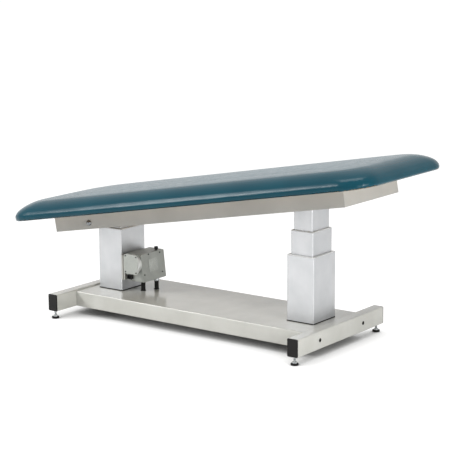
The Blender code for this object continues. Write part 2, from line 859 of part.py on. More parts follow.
# The top turns on an axle through the left head. Its frame lies on the axle.
axle_seat = make_frame("axle_seat", inner_frames["left"], (AXLE_OFFSET, 0, axis_z))
top = make_frame("tilt_axis", axle_seat, turn=(0, -tilt, 0))
cushion_size = (CUSHION_LENGTH, CUSHION_WIDTH)
frame_length = CUSHION_LENGTH - 2 * TOP_END_OVERHANG
frame_width = CUSHION_WIDTH - 2 * TOP_SIDE_OVERHANG
frame_half_width = frame_width / 2
frame_x0 = -AXLE_FROM_FRAME_END
frame_x1 = frame_length - AXLE_FROM_FRAME_END
frame_z0 = -AXLE_ABOVE_FRAME
frame_z1 = APRON_HEIGHT - AXLE_ABOVE_FRAME


def apron_outline():
    """A C section. x runs inwards from the outer face and y upwards."""
    return [
        (0, frame_z0),
        (APRON_FLANGE, frame_z0),
        (APRON_FLANGE, frame_z0 + APRON_SHEET),
        (APRON_SHEET, frame_z0 + APRON_SHEET),
        (APRON_SHEET, frame_z1 - APRON_SHEET),
        (APRON_FLANGE, frame_z1 - APRON_SHEET),
        (APRON_FLANGE, frame_z1),
        (0, frame_z1),
    ]


def mitred_apron(length):
    """The C section drawn out along Z, its ends mitred so that four of them make a frame."""
    bm = prism(apron_outline(), -length / 2, length / 2)
    for vert in bm.verts:
        side = math.copysign(1.0, vert.co.z)
        vert.co.z -= side * (vert.co.x + SEAT_GAP)
    return bm


frame_middle_x = (frame_x0 + frame_x1) / 2
apron_places = (
    ("front_apron", frame_length, (frame_middle_x, -frame_half_width, 0), 0.0),
    ("rear_apron", frame_length, (frame_middle_x, frame_half_width, 0), math.pi),
    ("left_apron", frame_width, (frame_x0, 0, 0), -math.pi / 2),
    ("right_apron", frame_width, (frame_x1, 0, 0), math.pi / 2),
)
aprons = {}
for name, length, place, heading in apron_places:
    aprons[name] = make_object(
        name,
        mitred_apron(length),
        shaded_paint,
        top,
        place,
        (math.pi / 2, 0, math.pi / 2 + heading),
    )
for name in ("front_apron", "rear_apron"):
    combine(
        aprons[name],
        "DIFFERENCE",
        f"{name}_axle_hole",
        rods([(0, 0)], bush_hole, -APRON_FLANGE, APRON_FLANGE),
        top,
        (0, aprons[name].location.y, 0),
        ALONG_Y,
    )

axle_half = frame_half_width + SEAT_GAP
cap_dome = []
for step in range(1, DOME_STEPS):
    angle = math.pi / 2 * step / DOME_STEPS
    reach = AXLE_CAP_RADIUS * math.cos(angle)
    rise = AXLE_CAP_HEIGHT * math.sin(angle)
    cap_dome.append((reach, axle_half + rise))
axle_thread = axle_half + AXLE_CAP_HEIGHT / 2
axle_profile = [(radius, -height) for radius, height in cap_dome[::-1]]
axle_profile += [
    (AXLE_CAP_RADIUS, -axle_half),
    (AXLE_RADIUS, -axle_half),
    (AXLE_RADIUS, axle_thread),
]
make_object("tilt_axle", turned(axle_profile), chrome, top, turn=ALONG_Y)
nut_hole = AXLE_RADIUS + SEAT_GAP
nut_profile = [
    (nut_hole, axle_thread + SEAT_GAP),
    (nut_hole, axle_half),
    (AXLE_CAP_RADIUS, axle_half),
] + cap_dome
make_object("axle_cap_nut", turned(nut_profile), chrome, top, turn=ALONG_Y)

flange_radius = bush_radius + BUSH_FLANGE
bush_bore = AXLE_RADIUS + RUN_GAP
for place, away in (("front", -1), ("rear", 1)):
    ear_bush = [
        (bush_bore, EAR_INSIDE),
        (bush_radius, EAR_INSIDE),
        (bush_radius, ear_outside + SEAT_GAP),
        (flange_radius, ear_outside + SEAT_GAP),
        (flange_radius, ear_outside + SEAT_GAP + BUSH_FLANGE_THICKNESS),
        (bush_bore, ear_outside + SEAT_GAP + BUSH_FLANGE_THICKNESS),
    ]
    web_inside = frame_half_width - APRON_SHEET - SEAT_GAP
    apron_bush = [
        (bush_bore, frame_half_width),
        (bush_radius, frame_half_width),
        (bush_radius, web_inside),
        (flange_radius, web_inside),
        (flange_radius, web_inside - BUSH_FLANGE_THICKNESS),
        (bush_bore, web_inside - BUSH_FLANGE_THICKNESS),
    ]
    bushes = (("head", ear_bush, axle_seat), ("apron", apron_bush, top))
    for kind, profile, seat in bushes:
        rings = [(circle(radius), away * height) for radius, height in profile]
        make_object(
            f"{place}_{kind}_bush", loft(rings, ring=True), bronze, seat, turn=ALONG_Y
        )

# Guide under the top that the right head's rollers run in.
slot_half_height = ROLLER_RADIUS + GUIDE_PLAY
slot_half_length = GUIDE_TRAVEL / 2 + ROLLER_RADIUS
guide_half_length = slot_half_length + GUIDE_END
guide_leg_low = -slot_half_height - GUIDE_EDGE
guide_plate_high = frame_z1 - APRON_SHEET - SEAT_GAP
guide_plate_low = guide_plate_high - GUIDE_PLATE_THICKNESS
leg_in = roller_middle - GUIDE_LEG_THICKNESS / 2
leg_out = roller_middle + GUIDE_LEG_THICKNESS / 2
guide_half_width = frame_half_width - APRON_SHEET - SEAT_GAP
guide_outline = [
    (-guide_half_width, guide_plate_low),
    (-leg_out, guide_plate_low),
    (-leg_out, guide_leg_low),
    (-leg_in, guide_leg_low),
    (-leg_in, guide_plate_low),
    (leg_in, guide_plate_low),
    (leg_in, guide_leg_low),
    (leg_out, guide_leg_low),
    (leg_out, guide_plate_low),
    (guide_half_width, guide_plate_low),
    (guide_half_width, guide_plate_high),
    (-guide_half_width, guide_plate_high),
]
roller_guide = make_object(
    "roller_guide",
    prism(guide_outline, -guide_half_length, guide_half_length),
    painted_steel,
    top,
    (tilt_run, 0, 0),
    ALONG_X,
)
combine(
    roller_guide,
    "DIFFERENCE",
    "roller_slots",
    prism(
        rounded_rectangle(
            2 * slot_half_length, 2 * slot_half_height, slot_half_height - SEAT_GAP
        ),
        -frame_half_width,
        frame_half_width,
    ),
    top,
    (tilt_run, 0, 0),
    ALONG_Y,
)

# Deck board and the cushion wrapped over its edges.
deck_low = frame_z1 + SEAT_GAP
deck_high = deck_low + DECK_THICKNESS
deck_size = inset_size(cushion_size, DECK_MARGIN)
make_object(
    "deck_board",
    prism(
        rounded_rectangle(
            *deck_size, CUSHION_CORNER - DECK_MARGIN, CUSHION_CORNER_STEPS
        ),
        deck_low,
        deck_high,
    ),
    plywood,
    top,
    (frame_middle_x, 0, 0),
)


def cushion_outline(inset, draw_in=0.0, corner_growth=-1.0):
    """The cushion's outline, moved in, with its long and short sides drawn in a little.

    A corner growth of -1 keeps the corners parallel to the outer ones.
    """
    length, width = inset_size(cushion_size, inset)
    corner = CUSHION_CORNER + inset * corner_growth
    corner = min(corner, width * CUSHION_CORNER_SHARE)
    outline = rounded_rectangle(
        length, width, corner, CUSHION_CORNER_STEPS, CUSHION_SPLITS
    )
    drawn = []
    for x, y in outline:
        along_x = math.cos(math.pi * x / length)
        along_y = math.cos(math.pi * y / width)
        drawn_x = x * (1 - draw_in * along_y / (length / 2))
        drawn_y = y * (1 - draw_in * along_x / (width / 2))
        drawn.append((drawn_x, drawn_y))
    return drawn


recess_high = deck_high + SEAT_GAP
recess_inset = DECK_MARGIN - SEAT_GAP
shoulder_z = deck_low + CUSHION_HEIGHT - CUSHION_CROWN
bulge_z = deck_low + CUSHION_BULGE
cushion_sections = [
    (cushion_outline(recess_inset), recess_high),
    (cushion_outline(recess_inset), deck_low),
    (cushion_outline(CUSHION_HEM_IN), deck_low),
    (cushion_outline(CUSHION_SIDE_IN), deck_low + CUSHION_SIDE_HEIGHT),
    (cushion_outline(0.0), bulge_z),
]
for step in range(1, CUSHION_ROLL_STEPS + 1):
    angle = math.pi / 2 * step / CUSHION_ROLL_STEPS
    inset = CUSHION_ROLL * (1 - max(math.cos(angle), 0.0) ** CUSHION_ROLL_SOFTNESS)
    height = bulge_z + (shoulder_z - bulge_z) * math.sin(angle)
    outline = cushion_outline(inset, CUSHION_DRAW_IN, CUSHION_CORNER_GROWTH)
    cushion_sections.append((outline, height))
crown_reach = CUSHION_WIDTH * CUSHION_CROWN_SHARE - CUSHION_ROLL
for step in range(1, CUSHION_CROWN_STEPS + 1):
    part = step / CUSHION_CROWN_STEPS
    inset = CUSHION_ROLL + crown_reach * part
    height = shoulder_z + CUSHION_CROWN * (1 - (1 - part) ** 2)
    outline = cushion_outline(inset, corner_growth=CUSHION_CORNER_GROWTH)
    cushion_sections.append((outline, height))
make_object("cushion", loft(cushion_sections), vinyl, top, (frame_middle_x, 0, 0))

# Pump unit: a bracket on the left column carries the housing, motor and cover.
pump = make_frame("pump_frame", column_frames["left"], (OUTER_SIZE[0] / 2, 0, 0))
back = SEAT_GAP
back_plate_face = back + BRACKET_BACK_PLATE
front_plate_back = back_plate_face + BRACKET_SLOT
front_plate_face = front_plate_back + BRACKET_FRONT_PLATE
box_half_width = BRACKET_HALF_WIDTH - BRACKET_SLOT_DEPTH
bracket_half = [
    (back, BRACKET_HALF_WIDTH),
    (back_plate_face, BRACKET_HALF_WIDTH),
    (back_plate_face, box_half_width),
    (front_plate_back, box_half_width),
    (front_plate_back, BRACKET_HALF_WIDTH),
    (front_plate_face, BRACKET_HALF_WIDTH),
    (front_plate_face, box_half_width),
    (BRACKET_DEPTH, box_half_width),
]
bracket_outline = bracket_half + [(x, -y) for x, y in bracket_half[::-1]]
bracket = make_object(
    "pump_bracket",
    prism(bracket_outline, BRACKET_BOTTOM, BRACKET_TOP),
    painted_steel,
    pump,
)
hollow_half = box_half_width - BRACKET_WALL
hollow_outline = [
    (back + BRACKET_WALL, hollow_half),
    (BRACKET_DEPTH - BRACKET_WALL, hollow_half),
    (BRACKET_DEPTH - BRACKET_WALL, -hollow_half),
    (back + BRACKET_WALL, -hollow_half),
]
combine(
    bracket,
    "DIFFERENCE",
    "bracket_hollow",
    prism(hollow_outline, BRACKET_BOTTOM - BRACKET_WALL, BRACKET_TOP + BRACKET_WALL),
    pump,
)

housing_back = BRACKET_DEPTH + SEAT_GAP
lean = math.atan2(HOUSING_REACH_BOTTOM - HOUSING_REACH_TOP, HOUSING_TOP - HOUSING_BOTTOM)


def housing_outline(wall):
    """The housing's cross-section, moved in by a wall. Its front leans back at the top."""
    low = HOUSING_BOTTOM + wall
    high = HOUSING_TOP - wall
    open_front = wall * 2
    return [
        (housing_back + wall, low),
        (HOUSING_REACH_BOTTOM + open_front, low),
        (HOUSING_REACH_TOP + open_front, high),
        (housing_back + wall, high),
    ]


housing = make_object(
    "pump_housing",
    prism(housing_outline(0), -HOUSING_FAR_Y, -HOUSING_NEAR_Y),
    cast_metal,
    pump,
    turn=FACING_NEAR,
)
rounding = housing.modifiers.new("rounded edges", "BEVEL")
rounding.width = HOUSING_ROUND
rounding.segments = 2
combine(
    housing,
    "DIFFERENCE",
    "housing_cavity",
    prism(
        housing_outline(HOUSING_WALL),
        -HOUSING_FAR_Y + HOUSING_WALL,
        -HOUSING_NEAR_Y - HOUSING_WALL,
    ),
    pump,
    turn=FACING_NEAR,
)
motor_place = (MOTOR_REACH, HOUSING_NEAR_Y, MOTOR_HEIGHT)
combine(
    housing,
    "DIFFERENCE",
    "motor_hole",
    rods([(0, 0)], MOTOR_RADIUS + SEAT_GAP, -BELL_DEPTH, BELL_DEPTH, LARGE_ROUND_STEPS),
    pump,
    motor_place,
    ALONG_Y,
)
plate_face = -SEAT_GAP - BELL_DEPTH
bell_face = plate_face + END_PLATE_THICKNESS
round_middle = BELL_ROUND * (1 - math.sqrt(0.5))
motor = make_object(
    "pump_motor",
    turned(
        [
            (BELL_RADIUS - BELL_ROUND, bell_face),
            (BELL_RADIUS - round_middle, bell_face + round_middle),
            (BELL_RADIUS, bell_face + BELL_ROUND),
            (BELL_RADIUS, -SEAT_GAP),
            (MOTOR_RADIUS, -SEAT_GAP),
            (MOTOR_RADIUS, MOTOR_LENGTH),
        ],
        LARGE_ROUND_STEPS,
    ),
    cast_metal,
    pump,
    motor_place,
    ALONG_Y,
)
combine(
    motor,
    "UNION",
    "end_plate",
    prism(
        rounded_rectangle(*END_PLATE_SIZE, END_PLATE_CORNER),
        plate_face,
        bell_face + BELL_ROUND / 2,
    ),
    pump,
    (END_PLATE_REACH, HOUSING_NEAR_Y, MOTOR_HEIGHT),
    ALONG_Y,
)

cover_frame = make_frame(
    "pump_cover_frame", pump, (HOUSING_REACH_BOTTOM, 0, HOUSING_BOTTOM), (0, -lean, 0)
)
cover_tall = (HOUSING_TOP - HOUSING_BOTTOM) / math.cos(lean)
cover_wide = HOUSING_FAR_Y - HOUSING_NEAR_Y
cover_middle_y = (HOUSING_FAR_Y + HOUSING_NEAR_Y) / 2
cover = make_object(
    "pump_cover",
    prism(
        rounded_rectangle(cover_wide, cover_tall, COVER_CORNER),
        SEAT_GAP,
        SEAT_GAP + COVER_THICKNESS,
    ),
    cast_metal,
    cover_frame,
    (0, cover_middle_y, cover_tall / 2),
    ALONG_X,
)
combine(
    cover,
    "UNION",
    "cover_pad",
    prism(
        rounded_rectangle(COVER_PAD_WIDTH, COVER_PAD_HEIGHT, COVER_CORNER / 2),
        COVER_THICKNESS / 2,
        SEAT_GAP + COVER_THICKNESS + COVER_PAD_RISE,
    ),
    cover_frame,
    (0, COVER_PAD_Y, COVER_PAD_Z),
    ALONG_X,
)
filler_low = HOUSING_TOP + SEAT_GAP
filler_neck = filler_low + FILLER_NECK_HEIGHT
filler_high = filler_low + FILLER_HEIGHT
make_object(
    "filler_cap",
    turned(
        [
            (FILLER_NECK_RADIUS, filler_low),
            (FILLER_NECK_RADIUS, filler_neck),
            (FILLER_RADIUS, filler_neck),
            (FILLER_RADIUS, filler_high - FILLER_EDGE),
            (FILLER_RADIUS - FILLER_EDGE, filler_high),
        ]
    ),
    black_plastic,
    pump,
    (FILLER_REACH, FILLER_Y, 0),
)
inlet = make_object(
    "mains_inlet",
    prism(
        rounded_rectangle(INLET_WIDTH, INLET_TALL, INLET_RIM),
        SEAT_GAP,
        SEAT_GAP + INLET_DEPTH,
    ),
    black_plastic,
    pump,
    (INLET_REACH, HOUSING_NEAR_Y, INLET_HEIGHT),
    FACING_NEAR,
)
combine(
    inlet,
    "DIFFERENCE",
    "inlet_socket",
    prism(
        rounded_rectangle(
            INLET_WIDTH - 2 * INLET_RIM, INLET_TALL - 2 * INLET_RIM, INLET_RIM / 2
        ),
        INLET_RIM,
        INLET_DEPTH * 2,
    ),
    pump,
    (INLET_REACH, HOUSING_NEAR_Y, INLET_HEIGHT),
    FACING_NEAR,
)


def rounded_path(corners, bend):
    """Points along straight runs whose corners are replaced with arcs of the bend radius."""
    path = [corners[0]]
    for before, here, after in zip(corners, corners[1:], corners[2:]):
        to_before = [b - h for b, h in zip(before, here)]
        to_after = [a - h for a, h in zip(after, here)]
        back_length = math.sqrt(sum(part * part for part in to_before))
        ahead_length = math.sqrt(sum(part * part for part in to_after))
        start = [h + part / back_length * bend for h, part in zip(here, to_before)]
        end = [h + part / ahead_length * bend for h, part in zip(here, to_after)]
        for step in range(CORNER_STEPS + 1):
            t = step / CORNER_STEPS
            path.append(
                [
                    (1 - t) ** 2 * s + 2 * t * (1 - t) * h + t * t * e
                    for s, h, e in zip(start, here, end)
                ]
            )
    path.append(corners[-1])
    return path


def make_hose(name, corners):
    curve = bpy.data.curves.new(name, "CURVE")
    curve.dimensions = "3D"
    curve.bevel_depth = HOSE_RADIUS
    curve.bevel_resolution = HOSE_ROUND_STEPS
    curve.use_fill_caps = True
    path = rounded_path(corners, HOSE_BEND)
    spline = curve.splines.new("POLY")
    spline.points.add(len(path) - 1)
    for point, place in zip(spline.points, path):
        point.co = (*place, 1.0)
    curve.materials.append(black_rubber)
    hose = bpy.data.objects.new(name, curve)
    hose.parent = base
    bpy.context.scene.collection.objects.link(hose)


hose_top = HOUSING_BOTTOM - SEAT_GAP
hose_end = port_low - SEAT_GAP
hose_routes = (
    ("left_lift_hose", left_hose_x, LEFT_HOSE_Y, -column_x),
    ("right_lift_hose", right_hose_x, RIGHT_HOSE_Y, column_x),
)
for name, start_x, start_y, end_x in hose_routes:
    make_hose(
        name,
        [
            (start_x, start_y, hose_top),
            (start_x, start_y, HOSE_LEVEL),
            (end_x, 0.0, HOSE_LEVEL),
            (end_x, 0.0, hose_end),
        ],
    )
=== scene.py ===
import json
import math

import bmesh
import bpy
from mathutils import Matrix, Vector
from mathutils.bvhtree import BVHTree

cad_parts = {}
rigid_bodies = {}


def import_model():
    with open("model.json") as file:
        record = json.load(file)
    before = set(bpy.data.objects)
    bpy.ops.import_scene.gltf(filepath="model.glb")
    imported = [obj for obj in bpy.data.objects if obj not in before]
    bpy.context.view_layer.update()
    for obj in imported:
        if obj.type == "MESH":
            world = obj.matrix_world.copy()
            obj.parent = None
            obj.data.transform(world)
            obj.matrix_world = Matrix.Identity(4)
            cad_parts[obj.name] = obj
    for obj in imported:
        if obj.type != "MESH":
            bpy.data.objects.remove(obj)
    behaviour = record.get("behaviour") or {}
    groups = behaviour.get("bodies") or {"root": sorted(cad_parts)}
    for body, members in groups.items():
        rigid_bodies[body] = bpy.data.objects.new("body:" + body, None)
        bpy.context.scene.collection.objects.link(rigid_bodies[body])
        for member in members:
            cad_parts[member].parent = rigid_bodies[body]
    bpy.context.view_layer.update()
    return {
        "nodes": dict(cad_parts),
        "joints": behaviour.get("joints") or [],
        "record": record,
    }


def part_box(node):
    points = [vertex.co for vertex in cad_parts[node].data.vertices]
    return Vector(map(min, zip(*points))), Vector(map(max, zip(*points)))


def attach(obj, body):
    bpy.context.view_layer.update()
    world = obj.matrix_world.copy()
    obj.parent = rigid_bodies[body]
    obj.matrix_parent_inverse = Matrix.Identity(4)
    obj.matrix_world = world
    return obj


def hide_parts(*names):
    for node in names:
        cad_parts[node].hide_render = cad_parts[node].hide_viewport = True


for leftOver in list(bpy.data.objects):
    bpy.data.objects.remove(leftOver, do_unlink=True)
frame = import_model()
nodes = frame["nodes"]
record = frame["record"]
scene = bpy.context.scene
bodyOf = {node: body for body, members in record["behaviour"]["bodies"].items() for node in members}
jointPlace = {joint["name"]: Vector(joint.get("pos_m", (0, 0, 0))) for joint in frame["joints"]}

# The tilting top's own axes: the origin on its axle, X along the top, Z out of it.
axlePlace = jointPlace["top_tilt"]
rollerPlace = jointPlace["front_roller_spin"]
tilt = math.atan2(rollerPlace.z - axlePlace.z, rollerPlace.x - axlePlace.x)
topFrame = Matrix.Translation(axlePlace) @ Matrix.Rotation(-tilt, 4, "Y")


def linearColour(hexText):
    channels = [int(hexText[i:i + 2], 16) / 255 for i in (0, 2, 4)]
    return [c / 12.92 if c <= 0.04045 else ((c + 0.055) / 1.055) ** 2.4 for c in channels] + [1.0]


def addNode(tree, kind, inputs=None, **settings):
    node = tree.nodes.new(kind)
    for name, value in settings.items():
        setattr(node, name, value)
    for name, value in (inputs or {}).items():
        if isinstance(value, bpy.types.NodeSocket):
            tree.links.new(value, node.inputs[name])
        else:
            node.inputs[name].default_value = value
    return node


def makeFinish(name, look):
    # Two shades in soft blotches, and one grain that drives both the gloss and the bump.
    material = bpy.data.materials.new(name)
    material.use_nodes = True
    tree = material.node_tree
    shader = tree.nodes["Principled BSDF"]
    place = addNode(tree, "ShaderNodeTexCoord").outputs["Object"]
    drawn = addNode(tree, "ShaderNodeMapping", {"Vector": place, "Scale": look.get("stretch", (1, 1, 1))})
    blotch = addNode(tree, "ShaderNodeTexNoise", {
        "Vector": place, "Scale": 1000 / look["blotchMm"], "Detail": 3.0})
    grain = addNode(tree, "ShaderNodeTexNoise", {
        "Vector": drawn.outputs["Vector"], "Scale": 1000 / look["grainMm"], "Detail": 4.0})
    blotchShare = addNode(tree, "ShaderNodeMapRange", {
        "Value": blotch.outputs["Fac"], "From Min": 0.3, "From Max": 0.7})
    shade = addNode(tree, "ShaderNodeMix", {
        0: blotchShare.outputs["Result"], 6: linearColour(look["darker"]), 7: linearColour(look["lighter"])},
        data_type="RGBA")
    gloss = addNode(tree, "ShaderNodeMapRange", {
        "Value": grain.outputs["Fac"], "From Min": 0.3, "From Max": 0.7,
        "To Min": look["rough"][0], "To Max": look["rough"][1]})
    bump = addNode(tree, "ShaderNodeBump", {
        "Height": grain.outputs["Fac"], "Strength": look["bump"], "Distance": look["depthMm"] / 1000})
    tree.links.new(shade.outputs[2], shader.inputs["Base Color"])
    tree.links.new(gloss.outputs["Result"], shader.inputs["Roughness"])
    tree.links.new(bump.outputs["Normal"], shader.inputs["Normal"])
    for socket, value in look.get("sockets", {}).items():
        shader.inputs[socket].default_value = value
    return material


finishLooks = {
    # Satin powder coat on steel: orange peel about 2.5 mm across, and a soft mirror in the flat top.
    "satin powder coat": {
        "darker": "C0C0B9", "lighter": "CDCDC7", "blotchMm": 140, "grainMm": 2.6, "rough": (0.2, 0.28),
        "bump": 0.05, "depthMm": 0.15, "sockets": {"Coat Weight": 0.35, "Coat Roughness": 0.06}},
    # The same coat on the top's frame, a shade warmer and less glossy; darker too, as painted shade.
    "warm grey enamel with painted shade": {
        "darker": "A8A7A2", "lighter": "B3B2AD", "blotchMm": 160, "grainMm": 2.6, "rough": (0.3, 0.4),
        "bump": 0.06, "depthMm": 0.15, "sockets": {"Coat Weight": 0.15, "Coat Roughness": 0.12}},
    # Extruded and anodised aluminium: faint die lines up the tube, drawn 2 mm apart so that they show.
    "anodised aluminium": {
        "darker": "B8BABC", "lighter": "C3C4C6", "blotchMm": 90, "grainMm": 2.0, "stretch": (1, 1, 0.01),
        "rough": (0.38, 0.46), "bump": 0.02, "depthMm": 0.06, "sockets": {"Metallic": 0.85}},
    # Painted sand casting: grains about 1.5 mm across that break up the shine.
    "painted casting": {
        "darker": "8E918C", "lighter": "9B9E99", "blotchMm": 60, "grainMm": 1.5, "rough": (0.32, 0.46),
        "bump": 0.22, "depthMm": 0.25, "sockets": {"Metallic": 0.35}},
    # The motor's end plate and the cover's pad: the same casting, machined brighter.
    "bright casting": {
        "darker": "9B9E99", "lighter": "A8ABA6", "blotchMm": 45, "grainMm": 1.0, "rough": (0.24, 0.36),
        "bump": 0.1, "depthMm": 0.12, "sockets": {"Metallic": 0.5}},
    # Aluminium on the bell's rim: paler than the castings beside it as a painted highlight, with a soft
    # shine.
    "aluminium with painted highlight": {
        "darker": "CDCFCD", "lighter": "DADCDA", "blotchMm": 30, "grainMm": 0.8, "rough": (0.3, 0.42),
        "bump": 0.04, "depthMm": 0.05, "sockets": {"Metallic": 0.3}},
    # Mill scale inside the foot tubes, where the coat doesn't reach: blue-black and dull, darkened further as
    # painted shade.
    "mill scale and painted shade": {
        "darker": "161617", "lighter": "222223", "blotchMm": 15, "grainMm": 1.5, "rough": (0.6, 0.8),
        "bump": 0.15, "depthMm": 0.1, "sockets": {"Specular IOR Level": 0.2}},
    # Moulded black plastic with a spark-eroded face.
    "moulded black plastic": {
        "darker": "0D0D0D", "lighter": "141313", "blotchMm": 25, "grainMm": 1.0, "rough": (0.4, 0.52),
        "bump": 0.1, "depthMm": 0.1, "sockets": {"Specular IOR Level": 0.2}},
    # Black rubber: dull, with a dusty bloom.
    "black rubber": {
        "darker": "121212", "lighter": "1B1B1A", "blotchMm": 18, "grainMm": 1.2, "rough": (0.6, 0.76),
        "bump": 0.12, "depthMm": 0.12, "sockets": {"Specular IOR Level": 0.2}},
    # Polished chrome plate: fine scratches, barely seen.
    "chrome plate": {
        "darker": "CFD1D3", "lighter": "E0E1E2", "blotchMm": 20, "grainMm": 0.8, "stretch": (1, 0.15, 1),
        "rough": (0.06, 0.13), "bump": 0.015, "depthMm": 0.03, "sockets": {"Metallic": 1.0}},
    # Chrome on the axle's domed heads, darkened as a painted dark reflection: a dark mirror, a little soft.
    "chrome with painted dark reflection": {
        "darker": "6E7073", "lighter": "86888A", "blotchMm": 12, "grainMm": 0.8, "rough": (0.3, 0.4),
        "bump": 0.02, "depthMm": 0.03, "sockets": {"Metallic": 1.0}},
    # Bright zinc on steel: slightly cloudy.
    "zinc plate": {
        "darker": "A9ADAF", "lighter": "C4C7C8", "blotchMm": 6, "grainMm": 0.7, "rough": (0.22, 0.36),
        "bump": 0.05, "depthMm": 0.05, "sockets": {"Metallic": 1.0}},
    # Black oxide on screws: dark, with a low oily shine; on the bolts in the access holes the dark is painted
    # shade.
    "black oxide and painted shade": {
        "darker": "1D1D1E", "lighter": "2C2C2D", "blotchMm": 4, "grainMm": 0.6, "rough": (0.32, 0.46),
        "bump": 0.06, "depthMm": 0.05, "sockets": {"Metallic": 0.8}},
    # Milled steel: tool lines a millimetre apart.
    "milled steel": {
        "darker": "85888B", "lighter": "A0A3A5", "blotchMm": 35, "grainMm": 1.0, "stretch": (1, 0.05, 1),
        "rough": (0.3, 0.45), "bump": 0.08, "depthMm": 0.06, "sockets": {"Metallic": 1.0}},
    # Oil-filled bronze: brown and dull, a little porous.
    "oiled bronze": {
        "darker": "7E6238", "lighter": "A4834F", "blotchMm": 5, "grainMm": 0.5, "rough": (0.4, 0.55),
        "bump": 0.08, "depthMm": 0.05, "sockets": {"Metallic": 0.9}},
    # Natural acetal: a pale, waxy moulding.
    "natural acetal": {
        "darker": "DCDDDC", "lighter": "E6E7E6", "blotchMm": 20, "grainMm": 1.2, "rough": (0.34, 0.44),
        "bump": 0.04, "depthMm": 0.08, "sockets": {"Coat Weight": 0.2}},
}
finishes = {name: makeFinish(name, look) for name, look in finishLooks.items()}

# Birch plywood: pale rotary-cut figure in long bands instead of blotches, with a dull lacquered face.
plywoodLook = {"darker": "A98655", "lighter": "D2B68A", "bandMm": 24, "blotchMm": 220, "grainMm": 1.6,
               "stretch": (0.02, 1, 1), "rough": (0.55, 0.7), "bump": 0.12, "depthMm": 0.12}
plywood = makeFinish("birch plywood", plywoodLook)
tree = plywood.node_tree
place = addNode(tree, "ShaderNodeTexCoord").outputs["Object"]
alongBoard = addNode(tree, "ShaderNodeMapping", {"Vector": place, "Scale": (0.12, 1, 1)})
bands = addNode(tree, "ShaderNodeTexWave", {
    "Vector": alongBoard.outputs["Vector"], "Scale": 1000 / plywoodLook["bandMm"] / 20, "Distortion": 14.0,
    "Detail": 3.0, "Detail Scale": 1.5}, bands_direction="Y")
shade = tree.nodes["Principled BSDF"].inputs["Base Color"].links[0].from_node
tree.links.new(bands.outputs["Fac"], shade.inputs[0])
finishes["birch plywood"] = plywood

# Upholstery vinyl: a calendered leather grain about 1.5 mm across, drawn 2.4 mm so that it shows, a
# smooth face that takes long highlights, slow waves in it, and colour that deepens in cloudy patches.
vinylLook = {"deep": "0A404E", "bright": "0D4755", "cloudMm": 260, "waveMm": 30.0, "waveDepthMm": 0.5,
             "waveBump": 0.04, "grainMm": 2.4, "grainDepthMm": 0.06, "grainBump": 0.1, "rough": (0.2, 0.26),
             "shine": 0.15}
vinyl = makeFinish("upholstery vinyl", {
    "darker": vinylLook["deep"], "lighter": vinylLook["bright"], "blotchMm": vinylLook["cloudMm"],
    "grainMm": vinylLook["waveMm"], "rough": vinylLook["rough"], "bump": vinylLook["waveBump"],
    "depthMm": vinylLook["waveDepthMm"], "sockets": {"Specular IOR Level": vinylLook["shine"]}})
tree = vinyl.node_tree
shader = tree.nodes["Principled BSDF"]
place = addNode(tree, "ShaderNodeTexCoord").outputs["Object"]
pebbles = addNode(tree, "ShaderNodeTexNoise", {
    "Vector": place, "Scale": 1000 / vinylLook["grainMm"], "Detail": 1.0, "Roughness": 0.4})
softBump = shader.inputs["Normal"].links[0].from_socket
grainBump = addNode(tree, "ShaderNodeBump", {
    "Height": pebbles.outputs["Fac"], "Strength": vinylLook["grainBump"],
    "Distance": vinylLook["grainDepthMm"] / 1000, "Normal": softBump})
tree.links.new(grainBump.outputs["Normal"], shader.inputs["Normal"])
finishes["upholstery vinyl"] = vinyl
print("finishes made:", len(finishes))


def pieceName(node):
    words = node.split("_")
    return words[0] + "".join(word.capitalize() for word in words[1:])


def mergedCopy(node):
    # A CAD mesh is loose triangles: weld them, then drop the edges inside flat faces.
    bm = bmesh.new()
    bm.from_mesh(nodes[node].data)
    bmesh.ops.remove_doubles(bm, verts=bm.verts, dist=1e-5)
    bmesh.ops.dissolve_limit(bm, angle_limit=math.radians(0.6), verts=bm.verts, edges=bm.edges)
    return bm


def makePiece(bm, name, finish, body, standsFor=(), sharpDegrees=35):
    mesh = bpy.data.meshes.new(name)
    bm.to_mesh(mesh)
    bm.free()
    mesh.materials.append(finishes[finish])
    mesh.shade_smooth()
    mesh.set_sharp_from_angle(angle=math.radians(sharpDegrees))
    piece = bpy.data.objects.new(name, mesh)
    scene.collection.objects.link(piece)
    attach(piece, body)
    if standsFor:
        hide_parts(*standsFor)
    return piece


def spunSolid(profile, steps, turn=Matrix.Identity(4)):
    # Points of (radius, height), turned once round Z and then put in place.
    bm = bmesh.new()
    points = [bm.verts.new((radius, 0, height)) for radius, height in profile]
    lines = [bm.edges.new(pair) for pair in zip(points, points[1:])]
    bmesh.ops.spin(bm, geom=points + lines, cent=(0, 0, 0), axis=(0, 0, 1), angle=2 * math.pi,
                   steps=steps, use_merge=True)
    bmesh.ops.remove_doubles(bm, verts=bm.verts, dist=1e-6)
    bmesh.ops.recalc_face_normals(bm, faces=bm.faces)
    bmesh.ops.transform(bm, matrix=turn, verts=bm.verts)
    return bm


def hexHead(radius, rise, edge, place):
    # A six-sided head or nut with broken edges, centred on its place.
    bm = bmesh.new()
    bmesh.ops.create_cone(bm, cap_ends=True, segments=6, radius1=radius, radius2=radius, depth=rise)
    bmesh.ops.bevel(bm, geom=bm.edges[:], offset=edge, affect="EDGES", segments=2, profile=0.5, material=-1)
    bmesh.ops.transform(bm, matrix=place, verts=bm.verts)
    return bm


def joined(shapes):
    mesh = bpy.data.meshes.new("joining")
    whole = bmesh.new()
    for shape in shapes:
        shape.to_mesh(mesh)
        shape.free()
        whole.from_mesh(mesh)
    bpy.data.meshes.remove(mesh)
    return whole


